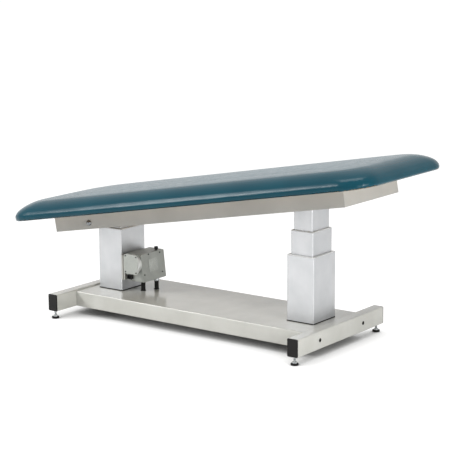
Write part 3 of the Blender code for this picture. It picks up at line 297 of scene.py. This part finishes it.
# CAD solids whose shape is right: each keeps its form and gets a finish and softened edges (mm).
dressing = {
    "satin powder coat": {
        "left_foot_tube": 0.5, "right_foot_tube": 0.5, "platform_cover": 0.4, "front_base_rail": 0.4,
        "rear_base_rail": 0.4, "left_column_plate": 0.6, "right_column_plate": 0.6, "pump_bracket": 0.5,
        "roller_guide": 0.5},
    "warm grey enamel with painted shade": {"front_apron": 0.5, "rear_apron": 0.5, "left_apron": 0.5, "right_apron": 0.5},
    "anodised aluminium": {
        "left_outer_column": 0.4, "right_outer_column": 0.4, "left_middle_column": 0.4,
        "right_middle_column": 0.4, "left_inner_column": 0.4, "right_inner_column": 0.4},
    "painted casting": {"pump_housing": 0.0, "pump_cover": 0.7},
    "bright casting": {"pump_motor": 1.0},
    "milled steel": {"left_pivot_head": 0.5, "right_roller_head": 0.5},
    "moulded black plastic": {
        "left_front_end_cap": 0.5, "left_rear_end_cap": 0.5, "right_front_end_cap": 0.5,
        "right_rear_end_cap": 0.5, "mains_inlet": 0.4},
    "black rubber": {
        "left_column_gasket": 0.5, "right_column_gasket": 0.5, "left_lift_hose": 0.0,
        "right_lift_hose": 0.0},
    "natural acetal": {
        "left_outer_guide": 0.4, "right_outer_guide": 0.4, "left_middle_guide": 0.4,
        "right_middle_guide": 0.4},
    "birch plywood": {"deck_board": 1.0},
}
edgeLook = {"segments": 2, "fromDegrees": 40}
for finish, solids in dressing.items():
    for node, edgeMm in solids.items():
        piece = makePiece(mergedCopy(node), pieceName(node), finish, bodyOf[node], [node])
        if edgeMm:
            softEdge = piece.modifiers.new("softened edges", "BEVEL")
            softEdge.width = edgeMm / 1000
            softEdge.segments = edgeLook["segments"]
            softEdge.limit_method = "ANGLE"
            softEdge.angle_limit = math.radians(edgeLook["fromDegrees"])
            softEdge.use_clamp_overlap = True
        evenShade = piece.modifiers.new("even shading", "WEIGHTED_NORMAL")
        evenShade.keep_sharp = True
print("CAD solids dressed")

# Inner solids that stay as they are, with a finish of their own.
innerFinishes = {
    "milled steel": ["left_ram_barrel", "right_ram_barrel", "roller_pin"],
    "chrome plate": ["left_ram_sleeve", "right_ram_sleeve", "left_ram_rod", "right_ram_rod"],
    "oiled bronze": ["front_head_bush", "rear_head_bush", "front_apron_bush", "rear_apron_bush"],
    "natural acetal": ["front_guide_roller", "rear_guide_roller"],
}
for finish, solids in innerFinishes.items():
    for node in solids:
        nodes[node].data.materials.clear()
        nodes[node].data.materials.append(finishes[finish])

# Levelling feet: a rubber pad under a zinc cone, a threaded stud and a jam nut below the tube.
footLook = {"padRadius": 0.0165, "padHeight": 0.009, "padEdge": 0.0023, "padSteps": 40,
            "cone": (0.0104, 0.0138), "coneTop": 0.017, "studRadius": 0.005, "threadDepth": 0.0006,
            "pitch": 0.0015, "studTop": 0.0638, "studSteps": 28, "nutLow": 0.0307, "nutHigh": 0.0356,
            "nutRadius": 0.0079, "nutEdge": 0.0005}
for side in ("left", "right"):
    for end in ("front", "rear"):
        node = f"{side}_{end}_levelling_foot"
        low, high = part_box(node)
        stand = Matrix.Translation(((low.x + high.x) / 2, (low.y + high.y) / 2, 0))
        padRadius, padEdge, padHeight = footLook["padRadius"], footLook["padEdge"], footLook["padHeight"]
        pad = [(0, 0), (padRadius - padEdge, 0), (padRadius - padEdge * 0.3, padEdge * 0.3),
               (padRadius, padEdge), (padRadius, padHeight - padEdge),
               (padRadius - padEdge * 0.3, padHeight - padEdge * 0.3), (padRadius - padEdge, padHeight),
               (padRadius - 2 * padEdge, padHeight), (0, padHeight)]
        makePiece(spunSolid(pad, footLook["padSteps"], stand), pieceName(f"{side}_{end}_foot_pad"),
                  "black rubber", bodyOf[node], [node])
        stud = [(0, padHeight), (footLook["cone"][0], padHeight), footLook["cone"],
                (footLook["studRadius"], footLook["coneTop"])]
        height = footLook["coneTop"]
        while height < footLook["studTop"] - footLook["pitch"]:
            stud.append((footLook["studRadius"] - footLook["threadDepth"], height + footLook["pitch"] / 2))
            stud.append((footLook["studRadius"], height + footLook["pitch"]))
            height += footLook["pitch"]
        stud.append((0, height))
        nutMiddle = (footLook["nutLow"] + footLook["nutHigh"]) / 2
        nut = hexHead(footLook["nutRadius"], footLook["nutHigh"] - footLook["nutLow"], footLook["nutEdge"],
                      stand @ Matrix.Translation((0, 0, nutMiddle)))
        makePiece(joined([spunSolid(stud, footLook["studSteps"], stand), nut]),
                  pieceName(f"{side}_{end}_foot_stud"), "zinc plate", bodyOf[node])
print("levelling feet made")

# Tilt axle with a domed head at the front apron, and its domed nut at the rear one.
axleLook = {"radius": 0.008, "chamfer": 0.001, "domeRadius": 0.0125, "domeHeight": 0.011, "domeSteps": 10,
            "rimHeight": 0.0015, "gap": 0.0003, "steps": 40}
domeFoot = -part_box("front_apron")[0].y + axleLook["gap"]
domeRise = axleLook["domeHeight"] - axleLook["rimHeight"]
dome = [(0, domeFoot + axleLook["domeHeight"])]
for step in reversed(range(axleLook["domeSteps"])):
    slope = math.pi / 2 * step / axleLook["domeSteps"]
    dome.append((axleLook["domeRadius"] * math.cos(slope),
                 domeFoot + axleLook["rimHeight"] + domeRise * math.sin(slope)))
dome.append((axleLook["domeRadius"], domeFoot))
axleEnd = domeFoot + axleLook["domeHeight"] / 2
axleProfile = dome + [(axleLook["radius"], domeFoot), (axleLook["radius"], axleLook["chamfer"] - axleEnd),
                      (axleLook["radius"] - axleLook["chamfer"], -axleEnd), (0, -axleEnd)]
toFront = topFrame @ Matrix.Rotation(math.pi / 2, 4, "X")
makePiece(spunSolid(axleProfile, axleLook["steps"], toFront), "tiltAxle", "chrome with painted dark reflection", "top",
          ["tilt_axle"])
nutBore, nutFloor = axleLook["radius"] + axleLook["gap"], axleEnd + axleLook["gap"]
nutProfile = dome + [(nutBore, domeFoot), (nutBore, nutFloor), (0, nutFloor)]
toRear = topFrame @ Matrix.Rotation(-math.pi / 2, 4, "X")
makePiece(spunSolid(nutProfile, axleLook["steps"], toRear), "axleCapNut", "chrome with painted dark reflection", "top",
          ["axle_cap_nut"])

# Pump unit trim. The cover leans, so its screws and slot are placed on its own axes.
pumpLook = {"coverFoot": (0.113, 0.158), "coverTop": (0.099, 0.284), "coverFace": 0.0053, "padRise": 0.0008,
            "coverScrews": ((-0.0202, 0.2781), (0.0606, 0.2735), (0.0675, 0.1837), (-0.0591, 0.1904)),
            "screwHead": (0.0033, 0.0018), "screwSteps": 20, "slot": (-0.0218, 0.2095),
            "slotSize": (0.017, 0.0034, 0.0008), "plate": (0.0635, 0.240), "plateFace": -0.0953,
            "plateScrews": (0.0305, 0.0365), "bellHighlightSpan": (-0.0918, -0.0755)}
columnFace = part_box("left_outer_column")[1].x
lean = math.atan2(pumpLook["coverFoot"][0] - pumpLook["coverTop"][0],
                  pumpLook["coverTop"][1] - pumpLook["coverFoot"][1])
coverFrame = (Matrix.Translation((columnFace + pumpLook["coverFoot"][0], 0, pumpLook["coverFoot"][1]))
              @ Matrix.Rotation(-lean, 4, "Y"))


def capScrew(place):
    # A low round head with a driver hole, standing on the XY plane of its place.
    radius, rise = pumpLook["screwHead"]
    return spunSolid([(0, rise * 0.35), (radius * 0.45, rise * 0.35), (radius * 0.5, rise),
                      (radius * 0.85, rise), (radius, rise * 0.7), (radius, 0), (0, 0)],
                     pumpLook["screwSteps"], place)


def coverSpot(y, z):
    spot = (pumpLook["coverFace"], y, (z - pumpLook["coverFoot"][1]) / math.cos(lean))
    return coverFrame @ Matrix.Translation(spot) @ Matrix.Rotation(math.pi / 2, 4, "Y")


# The raised pad's face is machined bright and left bare.
coverMesh = bpy.data.objects["pumpCover"].data
coverMesh.materials.append(finishes["bright casting"])
ontoCover = coverFrame.inverted()
for polygon in coverMesh.polygons:
    if (ontoCover @ polygon.center).x > pumpLook["coverFace"] + pumpLook["padRise"]:
        polygon.material_index = 1

# The bell's rim, behind the square end plate, is made pale: a painted highlight on a rim that sits in shade.
bellMesh = bpy.data.objects["pumpMotor"].data
bellMesh.materials.append(finishes["aluminium with painted highlight"])
for polygon in bellMesh.polygons:
    if pumpLook["bellHighlightSpan"][0] < polygon.center.y < pumpLook["bellHighlightSpan"][1]:
        polygon.material_index = 1

# Inside the foot tubes the steel is bare and painted dark as shade: every face that doesn't look away from
# the tube's middle line.
tubeLook = {"outwardFrom": 0.001}
for side in ("left", "right"):
    tubeMesh = bpy.data.objects[f"{side}FootTube"].data
    tubeMesh.materials.append(finishes["mill scale and painted shade"])
    tubeLow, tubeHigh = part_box(f"{side}_foot_tube")
    for polygon in tubeMesh.polygons:
        fromMiddle = polygon.center - (tubeLow + tubeHigh) / 2
        outward = fromMiddle.x * polygon.normal.x + fromMiddle.z * polygon.normal.z
        if outward < tubeLook["outwardFrom"]:
            polygon.material_index = 1
makePiece(joined([capScrew(coverSpot(y, z)) for y, z in pumpLook["coverScrews"]]), "pumpCoverScrews",
          "black oxide and painted shade", "base")
faceNear = Matrix.Rotation(math.pi / 2, 4, "X")
plateScrews = []
for across in (-1, 1):
    for up in (-1, 1):
        spot = (columnFace + pumpLook["plate"][0] + across * pumpLook["plateScrews"][0],
                pumpLook["plateFace"], pumpLook["plate"][1] + up * pumpLook["plateScrews"][1])
        plateScrews.append(capScrew(Matrix.Translation(spot) @ faceNear))
makePiece(joined(plateScrews), "endPlateScrews", "black oxide and painted shade", "base")
slotPlug = bmesh.new()
bmesh.ops.create_cube(slotPlug, size=1.0)
bmesh.ops.scale(slotPlug, vec=pumpLook["slotSize"], verts=slotPlug.verts)
upright = [edge for edge in slotPlug.edges if edge.verts[0].co.xy == edge.verts[1].co.xy]
bmesh.ops.bevel(slotPlug, geom=upright, offset=pumpLook["slotSize"][1] * 0.45, affect="EDGES", segments=4,
                profile=0.5, material=-1)
bmesh.ops.transform(slotPlug, matrix=coverSpot(*pumpLook["slot"]), verts=slotPlug.verts)
makePiece(slotPlug, "coverSlotPlug", "black rubber", "base")

# Hose ends: a crimped ferrule with two grooves under the housing, and a grommet in the platform.
hoseLook = {"radius": 0.0101, "steps": 28, "ferrule": (0.0132, 0.012), "ferruleEdge": 0.001,
            "ferruleGap": 0.0005, "grooves": (0.6, 0.35), "grooveDepth": 0.0008, "grommet": (0.0128, 0.002),
            "grommetLip": (0.001, 0.0025, 0.0006), "grommetGap": 0.0003, "topBand": 0.002}
hoseRadius = hoseLook["radius"]
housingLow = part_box("pump_housing")[0].z
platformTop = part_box("platform_cover")[1].z
for side in ("left", "right"):
    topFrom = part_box(f"{side}_lift_hose")[1].z - hoseLook["topBand"]
    hoseTop = [vert.co for vert in nodes[f"{side}_lift_hose"].data.vertices if vert.co.z > topFrom]
    hoseMiddle = sum(hoseTop, Vector()) / len(hoseTop)
    radius, length = hoseLook["ferrule"]
    edge, gap, neck = hoseLook["ferruleEdge"], hoseLook["ferruleGap"], radius - hoseLook["grooveDepth"]
    ferrule = [(hoseRadius, -length), (radius - edge, -length), (radius, edge - length)]
    for groove in hoseLook["grooves"]:
        ferrule += [(radius, -length * (groove + 0.08)), (neck, -length * (groove + 0.02)),
                    (neck, -length * (groove - 0.02)), (radius, -length * (groove - 0.08))]
    ferrule += [(radius, -gap), (hoseRadius, -gap), (hoseRadius, -length)]
    underHousing = Matrix.Translation((hoseMiddle.x, hoseMiddle.y, housingLow))
    makePiece(spunSolid(ferrule, hoseLook["steps"], underHousing), f"{side}HoseFerrule", "zinc plate", "base")
    radius, rise = hoseLook["grommet"]
    shoulder, crown, mouth = hoseLook["grommetLip"]
    gap = hoseLook["grommetGap"]
    grommet = [(hoseRadius, gap), (radius, gap), (radius, rise * 0.5), (radius - shoulder, rise * 0.85),
               (radius - crown, rise), (hoseRadius + mouth, rise * 0.9), (hoseRadius, rise * 0.6),
               (hoseRadius, gap)]
    onPlatform = Matrix.Translation((hoseMiddle.x, hoseMiddle.y, platformTop))
    makePiece(spunSolid(grommet, hoseLook["steps"], onPlatform), f"{side}HoseGrommet", "black rubber", "base")

# Ribbed filler cap on its neck.
capLook = {"radius": 0.009, "ribs": 22, "ribSteps": 4, "ribDepth": 0.0006, "neckRadius": 0.0068,
           "neckHeight": 0.0045, "edge": 0.0016, "dish": 0.0006}
capLow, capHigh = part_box("filler_cap")
capRise = capHigh.z - capLow.z
capProfile = [(0, 0), (capLook["neckRadius"], 0), (capLook["neckRadius"], capLook["neckHeight"]),
              (capLook["radius"], capLook["neckHeight"]), (capLook["radius"], capRise - capLook["edge"]),
              (capLook["radius"] - capLook["edge"] * 0.4, capRise - capLook["edge"] * 0.4),
              (capLook["radius"] - capLook["edge"], capRise), (capLook["radius"] * 0.6, capRise),
              (capLook["radius"] * 0.55, capRise - capLook["dish"]), (0, capRise - capLook["dish"])]
fillerCap = spunSolid(capProfile, capLook["ribs"] * capLook["ribSteps"])
for vert in fillerCap.verts:
    onSide = capLook["neckHeight"] - 1e-4 < vert.co.z < capRise - capLook["edge"] + 1e-4
    if onSide and vert.co.xy.length > capLook["neckRadius"] + 0.001:
        rib = 0.5 - 0.5 * math.cos(math.atan2(vert.co.y, vert.co.x) * capLook["ribs"])
        vert.co.xy *= 1 - capLook["ribDepth"] / capLook["radius"] * rib
capSeat = Matrix.Translation(((capLow.x + capHigh.x) / 2, (capLow.y + capHigh.y) / 2, capLow.z))
bmesh.ops.transform(fillerCap, matrix=capSeat, verts=fillerCap.verts)
makePiece(fillerCap, "fillerCap", "moulded black plastic", "base", ["filler_cap"])

# Three contact blades in the mains inlet.
inletLook = {"spread": 0.005, "blade": (0.0016, 0.005, 0.004), "edge": 0.0004, "drop": 0.0022, "back": 0.0039}
inletLow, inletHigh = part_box("mains_inlet")
blades = []
for across, up in ((-1, -0.5), (0, 1), (1, -0.5)):
    blade = bmesh.new()
    bmesh.ops.create_cube(blade, size=1.0)
    bmesh.ops.scale(blade, vec=inletLook["blade"], verts=blade.verts)
    bmesh.ops.bevel(blade, geom=blade.edges[:], offset=inletLook["edge"], affect="EDGES", segments=2,
                    profile=0.5, material=-1)
    bladePlace = ((inletLow.x + inletHigh.x) / 2 + across * inletLook["spread"],
                  inletHigh.y - inletLook["back"] - inletLook["blade"][1] / 2,
                  (inletLow.z + inletHigh.z) / 2 + up * inletLook["drop"])
    bmesh.ops.translate(blade, vec=bladePlace, verts=blade.verts)
    blades.append(blade)
makePiece(joined(blades), "inletBlades", "black oxide and painted shade", "base")

# Hex bolts behind the access holes that hold the rails to the foot tubes, black so the holes show painted
# shade.
boltLook = {"height": 0.0741, "radius": 0.0073, "rise": 0.0055, "edge": 0.0005, "wall": 0.003,
            "washer": (0.0088, 0.0012), "washerGap": 0.0001, "washerSteps": 24}
railY = abs((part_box("front_base_rail")[0].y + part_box("front_base_rail")[1].y) / 2)
railBolts = []
for side, outward in (("left", -1), ("right", 1)):
    tubeLow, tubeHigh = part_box(f"{side}_foot_tube")
    inboardWall = (tubeLow.x + boltLook["wall"]) if outward > 0 else (tubeHigh.x - boltLook["wall"])
    for y in (-railY, railY):
        seat = (Matrix.Translation((inboardWall, y, boltLook["height"]))
                @ Matrix.Rotation(outward * math.pi / 2, 4, "Y"))
        washerRadius, washerRise = boltLook["washer"]
        washerFoot = boltLook["washerGap"]
        washer = [(0, washerFoot), (washerRadius, washerFoot), (washerRadius, washerRise), (0, washerRise)]
        railBolts.append(spunSolid(washer, boltLook["washerSteps"], seat))
        headPlace = seat @ Matrix.Translation((0, 0, washerRise + boltLook["rise"] / 2))
        railBolts.append(hexHead(boltLook["radius"], boltLook["rise"], boltLook["edge"], headPlace))
makePiece(joined(railBolts), "railBolts", "black oxide and painted shade", "base")
print("pump trim and fasteners made")

# Cushion: foam under stretched vinyl. The fabric swells off a slightly smaller pad, held at its hem,
# then gathers at the corners where it is pulled under the board.
cushionLook = {"undersize": 0.0025, "voxel": 0.009, "frames": 20, "cap": 0.006, "heldHeight": 0.026,
               "cloth": {"quality": 5, "mass": 0.3, "tension_stiffness": 15, "compression_stiffness": 15,
                         "shear_stiffness": 7, "bending_stiffness": 0.6, "use_pressure": True,
                         "uniform_pressure_force": 0.05},
               "corner": 0.115, "pleatGap": 0.034, "pleatWidth": 0.0075, "pleatDepth": 0.0022,
               "pleatReach": 0.1, "pleatHeight": 0.05, "waveLength": 0.19, "waveDepth": 0.0007,
               "edgeReach": 0.05, "hemHeight": 0.05, "hemSnap": (0.012, 0.03), "deckGap": 0.0003,
               "deckReach": 0.0006, "cutBelow": 0.02, "sharpDegrees": 60}
deckLow, deckHigh = 1e9, -1e9
intoTop = topFrame.inverted()
for vert in nodes["deck_board"].data.vertices:
    deckLow = min(deckLow, (intoTop @ vert.co).z)
    deckHigh = max(deckHigh, (intoTop @ vert.co).z)
pad = mergedCopy("cushion")
bmesh.ops.transform(pad, matrix=intoTop, verts=pad.verts)
# The seat for the board is filled while the fabric swells, and cut again afterwards.
for vert in pad.verts:
    onWall = any(len(face.verts) == 4 and face.calc_center_median().z > deckHigh for face in vert.link_faces)
    if abs(vert.co.z - deckHigh) < cushionLook["deckReach"] and not onWall:
        vert.co.z = deckLow
bmesh.ops.remove_doubles(pad, verts=pad.verts, dist=1e-4)
xs = [vert.co.x for vert in pad.verts]
ys = [vert.co.y for vert in pad.verts]
padLow = min(vert.co.z for vert in pad.verts)
padMiddle = Vector(((min(xs) + max(xs)) / 2, 0, 0))
padHalf = Vector(((max(xs) - min(xs)) / 2, (max(ys) - min(ys)) / 2, 0))
padHull = BVHTree.FromBMesh(pad)
for vert in pad.verts:
    under = cushionLook["undersize"] * min(1.0, (vert.co.z - padLow) / cushionLook["hemHeight"])
    vert.co.x -= (vert.co.x - padMiddle.x) * under / padHalf.x
    vert.co.y -= vert.co.y * under / padHalf.y
    vert.co.z -= under
padMesh = bpy.data.meshes.new("padStart")
pad.to_mesh(padMesh)
pad.free()
padObject = bpy.data.objects.new("padStart", padMesh)
scene.collection.objects.link(padObject)
remesh = padObject.modifiers.new("voxels", "REMESH")
remesh.mode = "VOXEL"
remesh.voxel_size = cushionLook["voxel"]


def bakedMesh(holder):
    bpy.context.view_layer.update()
    evaluated = holder.evaluated_get(bpy.context.evaluated_depsgraph_get())
    return bpy.data.meshes.new_from_object(evaluated, preserve_all_data_layers=False)


startMesh = bakedMesh(padObject)
padObject.modifiers.clear()
padObject.data = startMesh
startPoints = [vert.co.copy() for vert in startMesh.vertices]
held = padObject.vertex_groups.new(name="held")
held.add([vert.index for vert in startMesh.vertices
          if vert.co.z < padLow + cushionLook["heldHeight"]], 1.0, "REPLACE")
cloth = padObject.modifiers.new("vinyl", "CLOTH")
for setting, value in cushionLook["cloth"].items():
    setattr(cloth.settings, setting, value)
cloth.settings.vertex_group_mass = held.name
cloth.settings.effector_weights.gravity = 0
cloth.collision_settings.use_collision = False
cloth.point_cache.frame_start = 1
cloth.point_cache.frame_end = cushionLook["frames"]
for step in range(1, cushionLook["frames"] + 1):
    scene.frame_set(step)
swollen = bakedMesh(padObject)
padObject.modifiers.clear()
scene.frame_set(1)
swells = [(vert.co - start).length for vert, start in zip(swollen.vertices, startPoints)]
print("vinyl swelled by at most", max(swells))
for vert, start in zip(swollen.vertices, startPoints):
    move = vert.co - start
    if move.length > cushionLook["cap"]:
        vert.co = start + move * (cushionLook["cap"] / move.length)
padObject.data = swollen
finer = padObject.modifiers.new("finer", "SUBSURF")
finer.levels = 1
finer.render_levels = 1
fineMesh = bakedMesh(padObject)
padObject.modifiers.clear()
padObject.data = fineMesh

cornerX = padHalf.x - cushionLook["corner"]
cornerY = padHalf.y - cushionLook["corner"]
quarter = cushionLook["corner"] * math.pi / 2
for vert in fineMesh.vertices:
    x, y = abs(vert.co.x - padMiddle.x), abs(vert.co.y)
    # How far round the corner the point is, from the short side to the long one.
    if x < cornerX:
        along = quarter + cornerX - x
        inward = Vector((0, -math.copysign(1, vert.co.y), 0))
        inset = padHalf.y - y
    elif y < cornerY:
        along = y - cornerY
        inward = Vector((-math.copysign(1, vert.co.x - padMiddle.x), 0, 0))
        inset = padHalf.x - x
    else:
        turn = math.atan2(y - cornerY, x - cornerX)
        along = cushionLook["corner"] * turn
        inward = -Vector((math.copysign(math.cos(turn), vert.co.x - padMiddle.x),
                          math.copysign(math.sin(turn), vert.co.y), 0))
        inset = cushionLook["corner"] - math.hypot(x - cornerX, y - cornerY)
    fromMiddle = along - quarter / 2
    nearCorner = math.exp(-(fromMiddle / cushionLook["pleatReach"]) ** 2)
    lowShare = max(0.0, 1 - (vert.co.z - padLow) / cushionLook["pleatHeight"])
    edgeShare = max(0.0, 1 - inset / cushionLook["edgeReach"])
    offPleat = (fromMiddle / cushionLook["pleatGap"] + 0.5) % 1.0 - 0.5
    crease = math.exp(-(offPleat * cushionLook["pleatGap"] / cushionLook["pleatWidth"]) ** 2)
    depth = cushionLook["pleatDepth"] * nearCorner * lowShare * edgeShare * crease
    depth += (cushionLook["waveDepth"] * edgeShare
              * (0.5 + 0.5 * math.sin(along * 2 * math.pi / cushionLook["waveLength"])))
    vert.co += inward * depth
    # Close to the hem the vinyl lies tight against the board's edge.
    snapLow, snapHigh = cushionLook["hemSnap"]
    tight = min(1.0, max(0.0, (snapHigh - (vert.co.z - padLow)) / (snapHigh - snapLow)))
    if tight > 0:
        vert.co = vert.co.lerp(padHull.find_nearest(vert.co)[0], tight)

# The board's seat in the underside.
cutter = mergedCopy("deck_board")
bmesh.ops.transform(cutter, matrix=intoTop, verts=cutter.verts)
for vert in cutter.verts:
    side = Vector((vert.co.x - padMiddle.x, vert.co.y, 0))
    vert.co.x += math.copysign(cushionLook["deckGap"], side.x)
    vert.co.y += math.copysign(cushionLook["deckGap"], side.y)
    if vert.co.z > (deckLow + deckHigh) / 2:
        vert.co.z = deckHigh + cushionLook["deckGap"]
    else:
        vert.co.z = deckLow - cushionLook["cutBelow"]
cutterMesh = bpy.data.meshes.new("deckSeat")
cutter.to_mesh(cutterMesh)
cutter.free()
cutterObject = bpy.data.objects.new("deckSeat", cutterMesh)
scene.collection.objects.link(cutterObject)
seat = padObject.modifiers.new("deck seat", "BOOLEAN")
seat.operation = "DIFFERENCE"
seat.solver = "EXACT"
seat.object = cutterObject
cushionMesh = bakedMesh(padObject)
bpy.data.objects.remove(padObject, do_unlink=True)
bpy.data.objects.remove(cutterObject, do_unlink=True)
cushionBm = bmesh.new()
cushionBm.from_mesh(cushionMesh)
bmesh.ops.remove_doubles(cushionBm, verts=cushionBm.verts, dist=1e-6)
bmesh.ops.transform(cushionBm, matrix=topFrame, verts=cushionBm.verts)
cushion = makePiece(cushionBm, "upholsteredPad", "upholstery vinyl", "top", ["cushion"],
                    cushionLook["sharpDegrees"])
print("cushion made:", len(cushion.data.polygons), "faces")

# Vinyl turned under the board and stapled to it.
hemLook = {"width": 0.055, "thickness": 0.0008, "gap": 0.0001, "stapleGap": 0.042,
           "staple": (0.011, 0.0011, 0.0007), "stapleInset": 0.022, "stapleDrop": 0.0012}
hem = mergedCopy("deck_board")
bmesh.ops.transform(hem, matrix=intoTop, verts=hem.verts)
underside = [face for face in hem.faces if face.normal.z < -0.9]
inset = bmesh.ops.inset_region(hem, faces=underside, thickness=hemLook["width"], use_even_offset=True)
ring = set(inset["faces"])
bmesh.ops.delete(hem, geom=[face for face in hem.faces if face not in ring], context="FACES")
bmesh.ops.translate(hem, vec=(0, 0, -hemLook["gap"]), verts=hem.verts)
bmesh.ops.solidify(hem, geom=hem.faces[:], thickness=-hemLook["thickness"])
bmesh.ops.recalc_face_normals(hem, faces=hem.faces)
bmesh.ops.transform(hem, matrix=topFrame, verts=hem.verts)
makePiece(hem, "vinylHem", "upholstery vinyl", "top")

rowX, rowY = padHalf.x - hemLook["stapleInset"], padHalf.y - hemLook["stapleInset"]
straightX, straightY = rowX - cushionLook["corner"], rowY - cushionLook["corner"]
staples = []
for count, half, turn in ((int(2 * straightX / hemLook["stapleGap"]), straightX, 0),
                          (int(2 * straightY / hemLook["stapleGap"]), straightY, math.pi / 2)):
    for away in (-1, 1):
        for index in range(count + 1):
            offset = -half + 2 * half * index / count
            x, y = (offset, away * rowY) if turn == 0 else (away * rowX, offset)
            staple = bmesh.new()
            bmesh.ops.create_cube(staple, size=1.0)
            bmesh.ops.scale(staple, vec=hemLook["staple"], verts=staple.verts)
            spot = (padMiddle.x + x, y, deckLow - hemLook["stapleDrop"])
            lieDown = topFrame @ Matrix.Translation(spot) @ Matrix.Rotation(turn, 4, "Z")
            bmesh.ops.transform(staple, matrix=lieDown, verts=staple.verts)
            staples.append(staple)
makePiece(joined(staples), "hemStaples", "zinc plate", "top")
print("hem and staples made")

# Studio: white floor and surround, a wide softbox overhead, one at the front left and one at the right.
studioLook = {"floor": "F4F4F3", "floorSeen": "8C8C8B", "floorHalf": 30, "floorRough": 0.9, "floorShine": 0.1,
              "floorGlow": 0.95, "floorMirrored": 0.7, "surround": 0.22, "shadowReach": 0.22,
              "shadowSpan": (0.2, 0.78), "shadowSamples": 8,
              "lamps": (("overhead", (0.2, -0.3, 3.2), (0.0, 0.0, 0.4), (2.6, 1.0), 44.0),
                        ("frontLeft", (-3.9, -3.7, 3.15), (0.0, -0.2, 0.6), (2.3, 1.6), 230.0),
                        ("right", (3.5, -1.1, 0.95), (0.6, 0.0, 0.55), (1.0, 0.9), 62.0))}
floorBm = bmesh.new()
bmesh.ops.create_grid(floorBm, x_segments=2, y_segments=2, size=studioLook["floorHalf"])
floorMesh = bpy.data.meshes.new("studioFloor")
floorBm.to_mesh(floorMesh)
floorBm.free()
floor = bpy.data.objects.new("studioFloor", floorMesh)
scene.collection.objects.link(floor)
# Matt white floor: no shine, an even white to the camera that darkens only close under the part.
floorPaint = bpy.data.materials.new("matt white floor")
floorPaint.use_nodes = True
tree = floorPaint.node_tree
shader = tree.nodes["Principled BSDF"]
shader.inputs["Roughness"].default_value = studioLook["floorRough"]
shader.inputs["Specular IOR Level"].default_value = studioLook["floorShine"]
path = addNode(tree, "ShaderNodeLightPath")
paint = addNode(tree, "ShaderNodeMix", {
    0: path.outputs["Is Camera Ray"], 6: linearColour(studioLook["floor"]),
    7: linearColour(studioLook["floorSeen"])}, data_type="RGBA")
tree.links.new(paint.outputs[2], shader.inputs["Base Color"])
mirrored = addNode(tree, "ShaderNodeMath", {
    0: path.outputs["Is Glossy Ray"], 1: studioLook["floorMirrored"]}, operation="MULTIPLY")
seen = addNode(tree, "ShaderNodeMath", {
    0: path.outputs["Is Camera Ray"], 1: mirrored.outputs["Value"]}, operation="MAXIMUM")
openness = addNode(tree, "ShaderNodeAmbientOcclusion", {"Distance": studioLook["shadowReach"]},
                   samples=studioLook["shadowSamples"])
lit = addNode(tree, "ShaderNodeMapRange", {
    "Value": openness.outputs["AO"], "From Min": studioLook["shadowSpan"][0],
    "From Max": studioLook["shadowSpan"][1], "To Max": studioLook["floorGlow"]})
glow = addNode(tree, "ShaderNodeMath", {
    0: seen.outputs["Value"], 1: lit.outputs["Result"]}, operation="MULTIPLY")
shader.inputs["Emission Color"].default_value = (1, 1, 1, 1)
tree.links.new(glow.outputs["Value"], shader.inputs["Emission Strength"])
floorMesh.materials.append(floorPaint)

world = bpy.data.worlds.new("white studio")
scene.world = world
world.use_nodes = True
tree = world.node_tree
background = tree.nodes["Background"]
background.inputs["Color"].default_value = (1, 1, 1, 1)
path = addNode(tree, "ShaderNodeLightPath")
seen = addNode(tree, "ShaderNodeMath", {
    0: path.outputs["Is Camera Ray"], 1: path.outputs["Is Glossy Ray"]}, operation="MAXIMUM")
through = addNode(tree, "ShaderNodeMath", {
    0: seen.outputs["Value"], 1: path.outputs["Is Transmission Ray"]}, operation="MAXIMUM")
strength = addNode(tree, "ShaderNodeMapRange", {
    "Value": through.outputs["Value"], "To Min": studioLook["surround"], "To Max": 1.0})
tree.links.new(strength.outputs["Result"], background.inputs["Strength"])
for name, spot, aim, size, power in studioLook["lamps"]:
    lamp = bpy.data.lights.new(name, "AREA")
    lamp.shape = "RECTANGLE"
    lamp.size, lamp.size_y = size
    lamp.energy = power
    lampObject = bpy.data.objects.new(name, lamp)
    lampObject.location = spot
    lampObject.rotation_mode = "QUATERNION"
    lampObject.rotation_quaternion = (Vector(aim) - Vector(spot)).to_track_quat("-Z", "Y")
    scene.collection.objects.link(lampObject)

# Camera where the photograph was taken from.
cameraLook = {"azimuth": 36.44, "elevation": 11.27, "roll": -0.29, "lens": 125.4, "sensor": 36.0,
              "distance": 6.82, "target": (0.044, 0.0, 0.458)}
azimuth, elevation = math.radians(cameraLook["azimuth"]), math.radians(cameraLook["elevation"])
back = Vector((math.sin(azimuth) * math.cos(elevation), -math.cos(azimuth) * math.cos(elevation),
               math.sin(elevation)))
camera = bpy.data.objects.new("camera", bpy.data.cameras.new("camera"))
camera.data.lens = cameraLook["lens"]
camera.data.sensor_width = cameraLook["sensor"]
camera.location = Vector(cameraLook["target"]) + back * cameraLook["distance"]
camera.rotation_mode = "QUATERNION"
rollTurn = Matrix.Rotation(math.radians(cameraLook["roll"]), 4, "Z").to_quaternion()
camera.rotation_quaternion = (-back).to_track_quat("-Z", "Y") @ rollTurn
scene.collection.objects.link(camera)
scene.camera = camera
scene.view_settings.view_transform = "Standard"
print("studio and camera set")
